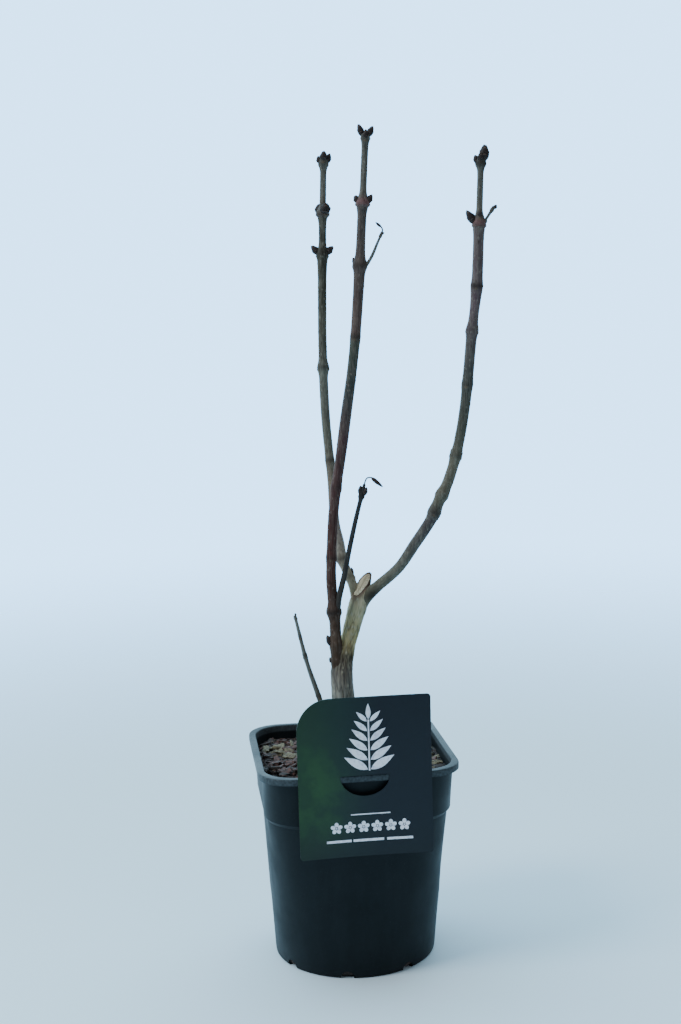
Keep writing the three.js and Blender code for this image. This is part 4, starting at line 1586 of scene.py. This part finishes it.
@dataclass
class Pot:
    """The nursery pot: round at the foot and square with round corners at the rim."""

    CREASE = 35.0

    height: float = 193.5
    turn: float = 7.0
    base_radius: float = 75.0
    rim_half: float = 90.5
    rim_corner: float = 31.0
    wall: float = 1.6
    floor: float = 2.6
    lip_width: float = 4.5
    lip_thickness: float = 1.8
    lip_drop: float = 6.0
    shoulder_height: float = 144.0
    shoulder_rise: float = 4.0
    shoulder_half: float = 82.2
    shoulder_step: float = 2.6
    drains: int = 8
    drain_width: float = 12.0
    drain_turn: float = -96.0
    floor_drains: int = 6
    floor_drain_at: float = 44.0
    floor_drain_radius: float = 5.0
    cut_depth: float = 12.0
    segments: int = 192

    def wall_half(self, height: float) -> float:
        """The half-width of the wall's outside.

        Args:
            height: Height above the foot.

        Returns:
            The half-width there.
        """
        top = self.shoulder_height + self.shoulder_rise
        places = (0.0, self.shoulder_height, top, self.height)
        halves = (self.base_radius, self.shoulder_half, self.shoulder_half + self.shoulder_step,
                  self.rim_half - self.lip_width)
        return float(np.interp(height, places, halves))

    def stand(self, bm: BMesh) -> None:
        """Turn a mesh as the pot stands, with its faces outwards."""
        turn = Matrix.Rotation(math.radians(self.turn), 3, "Z")
        bmesh.ops.rotate(bm, cent=(0, 0, 0), verts=bm.verts, matrix=turn)
        bmesh.ops.recalc_face_normals(bm, faces=bm.faces)

    def reach(self, angle: float, height: float) -> float:
        """How far out the section reaches at an angle, as a share of its half-width.

        Args:
            angle: Radians from the middle of a side.
            height: Height above the foot.

        Returns:
            1 at the middle of a side, and more towards a corner.
        """
        share = min(1.0, max(0.0, height / (self.height - self.lip_drop)))
        roundness = 1 + share * (self.rim_corner / self.rim_half - 1)
        quarter = math.pi / 2
        folded = quarter / 2 - abs(angle % quarter - quarter / 2)
        cos, sin = math.cos(folded), math.sin(folded)
        centre = 1 - roundness
        if sin / cos <= centre:
            return 1 / cos
        return centre * (cos + sin) + math.sqrt(roundness**2 - centre**2 * (cos - sin) ** 2)

    def turned(self, profile: Sequence[Pair]) -> BMesh:
        """Spin a profile and square it towards the rim.

        Args:
            profile: Points as (half-width, height), with both ends on the axis.

        Returns:
            A closed mesh in millimetres.
        """
        bm = bmesh.new()
        verts = [bm.verts.new((x, 0, z)) for x, z in profile]
        edges = [bm.edges.new(pair) for pair in zip(verts, verts[1:])]
        bmesh.ops.spin(bm, geom=[*verts, *edges], cent=(0, 0, 0), axis=(0, 0, 1),
                       angle=2 * math.pi, steps=self.segments, use_merge=True)
        bmesh.ops.remove_doubles(bm, verts=bm.verts, dist=WELD)
        for vert in bm.verts:
            x, y, z = vert.co
            reach = self.reach(math.atan2(y, x), z)
            vert.co = (x * reach, y * reach, z)
        self.stand(bm)
        return bm

    def shell(self) -> BMesh:
        """The pot's shell, with its flat lip, the skirt under it and the nesting step.

        Returns:
            A closed mesh in millimetres.
        """
        top, rim = self.height, self.rim_half
        lip_in, lip_under = self.wall_half(top), top - self.lip_thickness
        shoulder = self.shoulder_height
        step_top = shoulder + self.shoulder_rise
        wall = self.wall
        arch_top, middle = self.drain_width * 0.75, 60
        corners = [
            (0, 0, 0),
            (self.base_radius - 5, 0, 0),
            (self.base_radius, 0, 2.6),
            (self.wall_half(arch_top), arch_top, 0),
            (self.wall_half(middle), middle, 0),
            (self.shoulder_half, shoulder, 1.2),
            (self.shoulder_half + self.shoulder_step, step_top, 1.2),
            (self.wall_half(lip_under), lip_under, 0.8),
            (rim - wall, lip_under, 0.6),
            (rim - wall, top - self.lip_drop, 0.4),
            (rim, top - self.lip_drop, 0.5),
            (rim, top, 1.3),
            (lip_in - wall, top, 1.3),
            (self.wall_half(step_top) - wall, step_top, 1.2),
            (self.shoulder_half - wall, shoulder, 1.2),
            (self.wall_half(middle) - wall, middle, 0),
            (self.wall_half(arch_top) - wall, arch_top, 0),
            (self.wall_half(self.floor) - wall, self.floor, 2),
            (0, self.floor, 0),
        ]
        return self.turned(rounded(corners))

    def cutters(self) -> BMesh:
        """The drain arches at the foot of the wall and the round drains in the floor.

        Returns:
            What is cut out of the shell.
        """
        bm = bmesh.new()
        arches = (self.drains, self.drain_turn, (self.base_radius, 0, 1), self.drain_width / 2, 90)
        rounds = (self.floor_drains, 0, (self.floor_drain_at, 0, 0), self.floor_drain_radius, 0)
        for count, first, at, radius, lean in (arches, rounds):
            for i in range(count):
                turn = Matrix.Rotation(math.radians(first) + i * math.tau / count, 4, "Z")
                place = turn @ Matrix.Translation(at) @ Matrix.Rotation(math.radians(lean), 4, "Y")
                bmesh.ops.create_cone(bm, cap_ends=True, segments=24, radius1=radius, radius2=radius,
                                      depth=self.cut_depth, matrix=place)
        return bm

    def build(self) -> None:
        """Mould the pot and cut its drains."""
        plastic = Polypropylene("Moulded black polypropylene").material()
        piece = finish_piece(self.shell(), "pot_shell", [plastic], ("pot",), self.CREASE)
        cutter = in_scene("drain_cutters", mesh_in_metres(self.cutters(), "drain_cutters"))
        modifier = piece.modifiers.new("Drains", "BOOLEAN")
        modifier.operation = "DIFFERENCE"
        modifier.object = cutter
        graph = bpy.context.evaluated_depsgraph_get()
        cut = bpy.data.meshes.new_from_object(piece.evaluated_get(graph))
        piece.modifiers.clear()
        old, piece.data = piece.data, cut
        bpy.data.meshes.remove(old)
        bpy.data.objects.remove(cutter)
        cut.name = "pot_shell"
        cut.set_sharp_from_angle(angle=math.radians(self.CREASE))


@dataclass
class Compost:
    """The bark compost that fills the pot, with loose chips on top."""

    # The waves, lumps and crumbs of its top, by height, waves in a millimetre, where in the noise
    # they are read and octaves.
    RELIEF = ((1.6, 0.035, 3.1, 3), (1.1, 0.13, 5.3, 2), (0.8, 0.3, 7.7, 3))
    # The mound round the trunk, by its height and its reach.
    MOUND = (2.2, 26.0)
    # Random places are tried this far each way, which takes in the pot's corners.
    HALF_FIELD = 98.0
    # A chip's breadth and thickness as shares of its length, and how far it tapers.
    BREADTH, THINNESS, WEDGE = (0.3, 0.62), (0.14, 0.3), (0.1, 0.6)
    # How far a chip rolls and tilts in radians, and how far its points break out of shape.
    ROLL, TILT, BREAK = 0.28, 0.22, 0.085
    # A crumb's least and greatest size, how much bigger a rare one is, and its sides as shares.
    CRUMB, RARE_CRUMB = (0.5, 1.0), 1.2
    CRUMB_SIDES = ((0.7, 2.0), (0.5, 1.1), (0.4, 0.9))
    # How many crumbs in ten are umber, russet and straw-coloured.
    CRUMB_COLOURS = (6, 3, 1)

    pot: Pot
    level: float = 180.0
    clearance: float = 0.25
    ring_gap: float = 1.2
    trunk_at: Pair = (-3.0, 0.0)
    trunk_clear: float = 15.0
    seed: int = 23

    def __post_init__(self) -> None:
        """Set up the random source."""
        self.dice = random.Random(self.seed)

    def top_at(self, x: float, y: float) -> float:
        """The height of the compost's surface.

        Args:
            x: The place across.
            y: The place back.

        Returns:
            The height over that place.
        """
        height = self.level
        for size, pitch, depth, octaves in self.RELIEF:
            height += size * noise.fractal((x * pitch, y * pitch, depth), 1.0, 2.0, octaves)
        away = math.hypot(x - self.trunk_at[0], y - self.trunk_at[1])
        mound, reach = self.MOUND
        return height + mound * math.exp(-((away / reach) ** 2))

    def bed(self) -> BMesh:
        """The compost as one closed body with a crumbly top.

        Returns:
            A closed mesh in millimetres.
        """
        pot = self.pot
        inset = pot.wall + self.clearance
        bottom = pot.floor + self.clearance
        sides = (bottom, pot.shoulder_height, pot.shoulder_height + pot.shoulder_rise, self.level)
        profile = [(0.0, bottom)] + [(pot.wall_half(z) - inset, z) for z in sides]
        edge = profile[-1][0]
        rings = round(edge / self.ring_gap)
        profile += [(edge * (1 - (i + 1) / rings), self.level) for i in range(rings)]
        bm = pot.turned(profile)
        for vert in bm.verts:
            if vert.co.z > self.level - 0.01:
                vert.co.z = self.top_at(vert.co.x, vert.co.y)
        return bm

    def free_spot(self, margin: float) -> Pair:
        """A random place on the compost, clear of the wall and the trunk.

        Args:
            margin: Distance kept from the wall.

        Returns:
            The place.
        """
        half = self.pot.wall_half(self.level) - self.pot.wall
        while True:
            x, y = (self.dice.uniform(-self.HALF_FIELD, self.HALF_FIELD) for _ in range(2))
            angle = math.atan2(y, x) - math.radians(self.pot.turn)
            limit = half * self.pot.reach(angle, self.level) - margin
            away = math.hypot(x - self.trunk_at[0], y - self.trunk_at[1])
            if math.hypot(x, y) < limit and away > self.trunk_clear:
                return x, y

    def chips(
        self, count: int, length: Pair, spots: Callable[[float], Pair], proud: float
    ) -> BMesh:
        """Scatter flat, broken chips of bark.

        Args:
            count: How many.
            length: The shortest and longest.
            spots: Gives a place for a margin from the wall.
            proud: How far they stand out of the bed.

        Returns:
            The chips as one mesh.
        """
        bm = bmesh.new()
        dice = self.dice
        for _ in range(count):
            long = dice.uniform(*length)
            broad, thin = long * dice.uniform(*self.BREADTH), long * dice.uniform(*self.THINNESS)
            size = Vector((long, broad, thin))
            wedge = dice.uniform(*self.WEDGE)
            x, y = spots(long * 0.55)
            roll = Matrix.Rotation(dice.gauss(0, self.ROLL), 4, "X")
            tilt = roll @ Matrix.Rotation(dice.gauss(0, self.TILT), 4, "Y")
            spot = Vector((x, y, self.top_at(x, y) + proud * dice.uniform(0.2, 1.0)))
            turn = Matrix.Rotation(dice.uniform(0, math.tau), 4, "Z")
            place = Matrix.Translation(spot) @ turn @ tilt
            before = len(bm.verts)
            made = bmesh.ops.create_cube(bm, size=1)["verts"]
            edges = list({edge for vert in made for edge in vert.link_edges})
            bmesh.ops.subdivide_edges(bm, edges=edges, cuts=2, use_grid_fill=True)
            bm.verts.ensure_lookup_table()
            for vert in bm.verts[before:]:
                pull = 1 - 0.3 * (vert.co.length - 0.5)
                narrow = Vector((1, 1 - wedge * abs(vert.co.x), 1 - wedge * (vert.co.x + 0.5) * 0.7))
                local = Vector([c * s * pull * n for c, s, n in zip(vert.co, size, narrow)])
                chipped = Vector([dice.uniform(-self.BREAK, self.BREAK) * s for s in size])
                vert.co = place @ (local + chipped)
        return bm

    def crumbs(self, count: int) -> BMesh:
        """Scatter crumbs of three colours.

        Args:
            count: How many.

        Returns:
            The crumbs as one mesh.
        """
        bm = bmesh.new()
        dice = self.dice
        for _ in range(count):
            size = dice.uniform(*self.CRUMB) + self.RARE_CRUMB * dice.random() ** 3
            x, y = self.free_spot(3)
            spot = Vector((x, y, self.top_at(x, y) + size * 0.3))
            sides = [dice.uniform(*share) for share in self.CRUMB_SIDES]
            turn = Matrix.Rotation(dice.uniform(0, math.tau), 4, "Z")
            lean = Matrix.Rotation(dice.gauss(0, 0.4), 4, "X")
            place = Matrix.Translation(spot) @ turn @ lean @ Matrix.Diagonal((*sides, 1))
            colour = dice.choices(range(3), self.CRUMB_COLOURS)[0]
            for vert in bmesh.ops.create_icosphere(bm, subdivisions=1, radius=size)["verts"]:
                vert.co = place @ (vert.co * dice.uniform(0.7, 1.25))
                for face in vert.link_faces:
                    face.material_index = colour
        return bm

    def patch(self, x: float, y: float, spread: float) -> Callable[[float], Pair]:
        """Random places that gather round a point.

        Args:
            x: The point, across.
            y: The point, back.
            spread: How far they spread.

        Returns:
            A function that gives a place for a margin from the wall.
        """
        def spot(margin: float) -> Pair:
            """A place near the point."""
            while True:
                free = self.free_spot(margin)
                if math.hypot(free[0] - x, free[1] - y) < spread * self.dice.uniform(0.3, 1):
                    return free
        return spot

    def build(self) -> None:
        """Fill the pot and scatter the chips."""
        umber = BarkChip("Damp composted bark", light="#3c2d28", dark="#191210").material()
        russet = BarkChip("Russet pine bark", light="#5c3a30", dark="#2a1916").material()
        straw = BarkChip("Weathered straw-coloured bark", light="#756b51", dark="#40382b").material()
        finish_piece(self.bed(), "compost_bed", [umber], ("soil",), 60)
        crumbs = merge([self.crumbs(240) for _ in range(15)])
        finish_piece(crumbs, "compost_crumbs", [umber, russet, straw], crease=28)
        for name, finish, longest, proud in (("russet", russet, 15, 2.4), ("umber", umber, 13, 2.2)):
            chips = merge([self.chips(62, (3.5, longest), self.free_spot, proud) for _ in range(5)])
            finish_piece(chips, "bark_chips_" + name, [finish], crease=28)
        back_left = self.chips(34, (6, 14), self.patch(-62, 28, 24), 3.2)
        right = self.chips(40, (5, 12), self.patch(80, -8, 30), 2.8)
        loose = self.chips(30, (4, 9), self.free_spot, 2.6)
        finish_piece(merge([back_left, right, loose]), "bark_chips_straw", [straw],
                     crease=28)


# ---- label ----------------------------------------------------------------------------


def arc(
    x: float, y: float, rx: float, ry: float, start: float, end: float, steps: int
) -> list[Pair]:
    """Points on an arc of an ellipse about (x, y), from one angle in degrees to another."""
    angles = [math.radians(start + (end - start) * i / steps) for i in range(steps + 1)]
    return [(x + rx * math.cos(a), y + ry * math.sin(a)) for a in angles]


def placed(outline: Sequence[Pair], x: float, y: float, angle: float) -> list[Pair]:
    """Turn an outline and move it.

    Args:
        outline: Its points.
        x: Where its origin goes, across.
        y: Where its origin goes, up.
        angle: Its turn in degrees.

    Returns:
        The moved points.
    """
    turn = math.radians(angle)
    cos, sin = math.cos(turn), math.sin(turn)
    return [(x + a * cos - b * sin, y + a * sin + b * cos) for a, b in outline]


@dataclass
class Label:
    """The printed card that hangs in front of the rim, hooked over it by a die-cut tongue."""

    # The pieces that the card and its tongue are sliced into, so that they bend smoothly, and the
    # width of the slivers that are dropped.
    STRIP, BAND, TONGUE_BAND, SLIVER = 6.0, 8.0, 0.7, 0.05

    pot: Pot
    width: float = 118.0
    bottom: float = 121.0
    top: float = 264.0
    aside: float = 1.3
    thickness: float = 0.7
    gap: float = 0.3
    shoulder_corner: float = 29.0
    corner: float = 3.0
    tongue_width: float = 44.0
    tongue_length: float = 18.5
    tongue_share: float = 0.97
    bow: float = 1.2
    foot_bow: float = 2.5
    ink: float = 0.12

    def bent(self, x: float, height: float) -> float:
        """How far the card bows forward.

        Args:
            x: The place across it.
            height: The place up it.

        Returns:
            The bow there, which grows towards its sides and its foot.
        """
        across = (2 * x / self.width) ** 2
        up = (height - self.pot.height) / (self.top - self.bottom)
        return self.bow * across * (1 + self.foot_bow * max(0.0, -up))

    def onto_card(self, bm: BMesh) -> None:
        """Stand up a mesh drawn flat as (x, height, depth behind the face) and hang it on the rim.

        Args:
            bm: The mesh.
        """
        face = -(self.pot.rim_half + self.gap + self.thickness)
        for vert in bm.verts:
            x, height, depth = vert.co
            vert.co = (x + self.aside, face + depth - self.bent(x, height), height)
        self.pot.stand(bm)

    @staticmethod
    def outline(bm: BMesh, points: Sequence[Pair]) -> list[BMEdge]:
        """Add a closed outline to a mesh and return its edges."""
        verts = [bm.verts.new((x, y, 0)) for x, y in points]
        return [bm.edges.new(pair) for pair in zip(verts, [*verts[1:], verts[0]])]

    def plate(self) -> BMesh:
        """The card with one big round corner and the cut that frees its tongue.

        Returns:
            A closed mesh in millimetres.
        """
        left, right = -self.width / 2, self.width / 2
        r, big = self.corner, self.shoulder_corner
        card = [
            *arc(left + r, self.bottom + r, r, r, 180, 270, 6),
            *arc(right - r, self.bottom + r, r, r, 270, 360, 6),
            *arc(right - r, self.top - r, r, r, 0, 90, 6),
            *arc(left + big, self.top - big, big, big, 90, 180, 18),
        ]
        hinge = self.pot.height + self.gap
        slit = arc(0, hinge, self.tongue_width / 2, self.tongue_length, 180, 360, 28)
        bm = bmesh.new()
        edges = self.outline(bm, card) + self.outline(bm, slit)
        bmesh.ops.triangle_fill(bm, use_beauty=True, edges=edges)
        for x in np.arange(left + self.STRIP, right, self.STRIP):
            self.slice(bm, (float(x), 0, 0), (1, 0, 0))
        for z in np.arange(self.bottom + self.BAND, self.top, self.BAND):
            self.slice(bm, (0, float(z), 0), (0, 1, 0))
        bmesh.ops.dissolve_degenerate(bm, edges=bm.edges, dist=self.SLIVER)
        bmesh.ops.recalc_face_normals(bm, faces=bm.faces)
        bmesh.ops.solidify(bm, geom=list(bm.faces), thickness=self.thickness)
        low = min(vert.co.z for vert in bm.verts)
        bmesh.ops.translate(bm, vec=(0, 0, -low), verts=bm.verts)
        self.onto_card(bm)
        return bm

    @staticmethod
    def slice(bm: BMesh, point: Point, normal: Point) -> None:
        """Add edges to a flat mesh where a plane crosses it."""
        bmesh.ops.bisect_plane(bm, geom=[*bm.verts, *bm.edges, *bm.faces], plane_co=point,
                               plane_no=normal)

    def tongue(self) -> BMesh:
        """The tongue, bent back over the rim and down inside it.

        Returns:
            A closed mesh in millimetres.
        """
        half = self.tongue_width / 2 * self.tongue_share
        bm = bmesh.new()
        edges = self.outline(bm, arc(0, 0, half, self.tongue_length, 180, 360, 28))
        bmesh.ops.triangle_fill(bm, use_beauty=True, edges=edges)
        for down in np.arange(self.TONGUE_BAND, self.tongue_length, self.TONGUE_BAND):
            self.slice(bm, (0, -float(down), 0), (0, 1, 0))
        bmesh.ops.dissolve_degenerate(bm, edges=bm.edges, dist=self.SLIVER)
        bmesh.ops.solidify(bm, geom=list(bm.faces), thickness=self.thickness)
        over = self.pot.lip_width + self.pot.wall + 3 * self.gap
        hinge = self.pot.height + self.gap
        face = -(self.pot.rim_half + self.gap)
        for vert in bm.verts:
            x, along, depth = vert.co.x, -vert.co.y, abs(vert.co.z)
            if along < over:
                back, height = along, hinge + depth
            else:
                back, height = over + depth, hinge - (along - over)
            vert.co = (x + self.aside, face + back, height)
        self.pot.stand(bm)
        return bm

    def leaf(self, bm: BMesh, x: float, y: float, length: float, angle: float) -> None:
        """Add one plain pointed leaf of the printed sprig.

        Args:
            bm: The print.
            x: Its root, across.
            y: Its root, up.
            length: Its length.
            angle: Its direction in degrees.
        """
        half = length * 0.155
        side = [(length * t, half * math.sin(math.pi * t**0.8)) for t in np.linspace(0, 1, 9)]
        self.fill(bm, placed(side + [(a, -b) for a, b in side[-2:0:-1]], x, y, angle))

    def floret(self, bm: BMesh, x: float, y: float) -> None:
        """Add one plain flower of five petals with a dot in the middle.

        Args:
            bm: The print.
            x: Its middle, across.
            y: Its middle, up.
        """
        self.fill(bm, arc(x, y, 0.8, 0.8, 330, 0, 11))
        petals = 5
        for petal in range(petals):
            outline = arc(3.25, 0, 2.1, 1.8, 345, 0, 23)
            self.fill(bm, placed(outline, x, y, 90 + 360 / petals * petal))

    def fill(self, bm: BMesh, points: Sequence[Pair]) -> None:
        """Add a filled, very thin printed shape.

        Args:
            bm: The print.
            points: Its outline, drawn clockwise.
        """
        verts = [bm.verts.new((x, y, 0)) for x, y in points]
        bm.faces.new(verts[::-1])
        thicken(bm, verts, self.ink)

    def bar(self, bm: BMesh, x: float, y: float, width: float, height: float) -> None:
        """Add one plain bar, by its middle and its size."""
        corners = ((-1, -1), (-1, 1), (1, 1), (1, -1))
        self.fill(bm, [(x + a * width / 2, y + b * height / 2) for a, b in corners])

    def print_shapes(self) -> BMesh:
        """The white print: a sprig of leaves, with a row of florets and plain bars under it.

        Returns:
            A mesh in millimetres, in place.
        """
        bm = bmesh.new()
        middle, pairs, foot, head = 4.0, 6, 199.0, 256.0
        for i in range(pairs):
            share = i / (pairs - 1)
            y = foot + (head - foot - 14) * share
            length = 24 - 11 * share
            for side in (-1, 1):
                self.leaf(bm, middle + side * 1.3, y, length, 90 - side * (60 - 14 * share))
        self.leaf(bm, middle, head - 12, 14, 90)
        self.bar(bm, middle, (foot + head) / 2 - 6.7, 1.3, head - foot - 11.5)
        self.bar(bm, middle, 159, 35, 1.0)
        florets, spacing = 6, 12
        for i in range(florets):
            self.floret(bm, 3.6 + spacing * (i - (florets - 1) / 2), 147.5)
        for x, width in ((-24.4, 22), (1.8, 27), (29.5, 23)):
            self.bar(bm, x, 135.5, width, 2.2)
        self.onto_card(bm)
        return bm

    def build(self) -> None:
        """Cut, hang and print the card."""
        card = PrintedCard("Printed gloss card").material()
        bm = merge([self.plate(), self.tongue()])
        self.map_print(finish_piece(bm, "label_card", [card], ("label",), 30).data)
        finish_piece(self.print_shapes(), "label_print", [Ink("White ink").material()])

    def map_print(self, mesh: bpy.types.Mesh) -> None:
        """Give the card a map from 0 to 1 across and up it.

        Args:
            mesh: The finished card.
        """
        layer = mesh.uv_layers.new(name="Card")
        turn = Matrix.Rotation(-math.radians(self.pot.turn), 3, "Z")
        for loop in mesh.loops:
            spot = turn @ mesh.vertices[loop.vertex_index].co
            across = (spot.x / MM - self.aside) / self.width + 0.5
            up = (spot.z / MM - self.bottom) / (self.top - self.bottom)
            layer.data[loop.index].uv = (across, up)


# ---- studio ---------------------------------------------------------------------------


@dataclass
class Studio:
    """The pale floor, the soft lights and the camera."""

    eye: Point = (-2.6, -1311.0, 585.0)
    pitch: float = 7.43
    roll: float = 1.604
    focal_pixels: float = 1446.0
    picture_height: int = 1024
    sensor: float = 36.0
    backdrop: str = "#97cfff"
    backdrop_light: float = 4.7
    sky: str = "#bce7ff"
    room: str = "#e6f2fb"
    bright_side: Point = (-0.25, 0.86, 0.45)
    light_range: Pair = (0.22, 3.4)
    lit_point: Point = (0.0, 0.0, 0.35)
    floor_radius: float = 3500.0

    def camera(self) -> None:
        """Stand the camera a little above the plant's middle, looking slightly down."""
        data = bpy.data.cameras.new("camera")
        data.sensor_width = self.sensor
        data.lens = self.sensor * self.focal_pixels / self.picture_height
        data.clip_end = 50
        camera = in_scene("camera", data)
        tilt = Matrix.Rotation(math.radians(90 - self.pitch), 4, "X")
        turn = Matrix.Rotation(-math.radians(self.roll), 4, "Z")
        camera.matrix_world = Matrix.Translation([MM * v for v in self.eye]) @ tilt @ turn
        bpy.context.scene.camera = camera

    def softbox(self, name: str, at: Point, size: float, power: float, colour: str) -> None:
        """Add a square area light that faces the plant.

        Args:
            name: Its name.
            at: Its place in metres.
            size: Its side in metres.
            power: Its power in watts.
            colour: Its colour.
        """
        data = bpy.data.lights.new(name, "AREA")
        data.size = size
        data.energy = power
        data.color = linear(colour)[:3]
        in_scene(name, data).matrix_world = aimed(at, Vector(self.lit_point) - Vector(at), "-Z")

    def floor(self) -> None:
        """Lay the pale floor."""
        bm = bmesh.new()
        bmesh.ops.create_circle(bm, cap_ends=True, segments=96, radius=self.floor_radius)
        mesh = mesh_in_metres(bm, "floor")
        mesh.materials.append(StudioPaper("Pale studio paper").material())
        in_scene("floor", mesh)

    def build(self) -> None:
        """Set up the studio: an even backdrop, bright light behind the plant and dim before it."""
        world = bpy.data.worlds.new("studio")
        bpy.context.scene.world = world
        world.use_nodes = True
        world.node_tree.nodes.clear()
        add = partial(add_node, world.node_tree)
        way = add("TexCoord").outputs["Object"]
        toward = add("VectorMath", {0: way, 1: self.bright_side}, {"operation": "DOT_PRODUCT"})
        share = add("MapRange", {0: toward, 1: 0.1, 2: 0.8}, {"interpolation_type": "SMOOTHSTEP"})
        dim, bright = self.light_range
        strength = add("MapRange", {0: share, 3: dim, 4: bright})
        colour = add("Mix", {"Factor": share, "A": linear(self.room), "B": linear(self.sky)}, BLEND)
        sky = add("Background", {"Color": colour, "Strength": strength})
        backdrop = add(
            "Background", {"Color": linear(self.backdrop), "Strength": self.backdrop_light}
        )
        seen = add("LightPath").outputs["Is Camera Ray"]
        add("OutputWorld", {"Surface": add("MixShader", {0: seen, 1: sky, 2: backdrop})})
        self.floor()
        self.softbox("key", (-1.9, -0.9, 2.0), 1.0, 48, "#f0f8ff")
        self.softbox("fill", (1.6, -1.6, 1.4), 1.6, 8, "#eef7ff")
        self.camera()


def main() -> None:
    """Build the studio and every piece of the object."""
    logging.basicConfig(level=logging.INFO, format="%(name)s %(message)s")
    Studio().build()
    pot = Pot()
    pot.build()
    Compost(pot).build()
    Label(pot).build()
    Lilac().build()


if __name__ == "__main__":
    main()
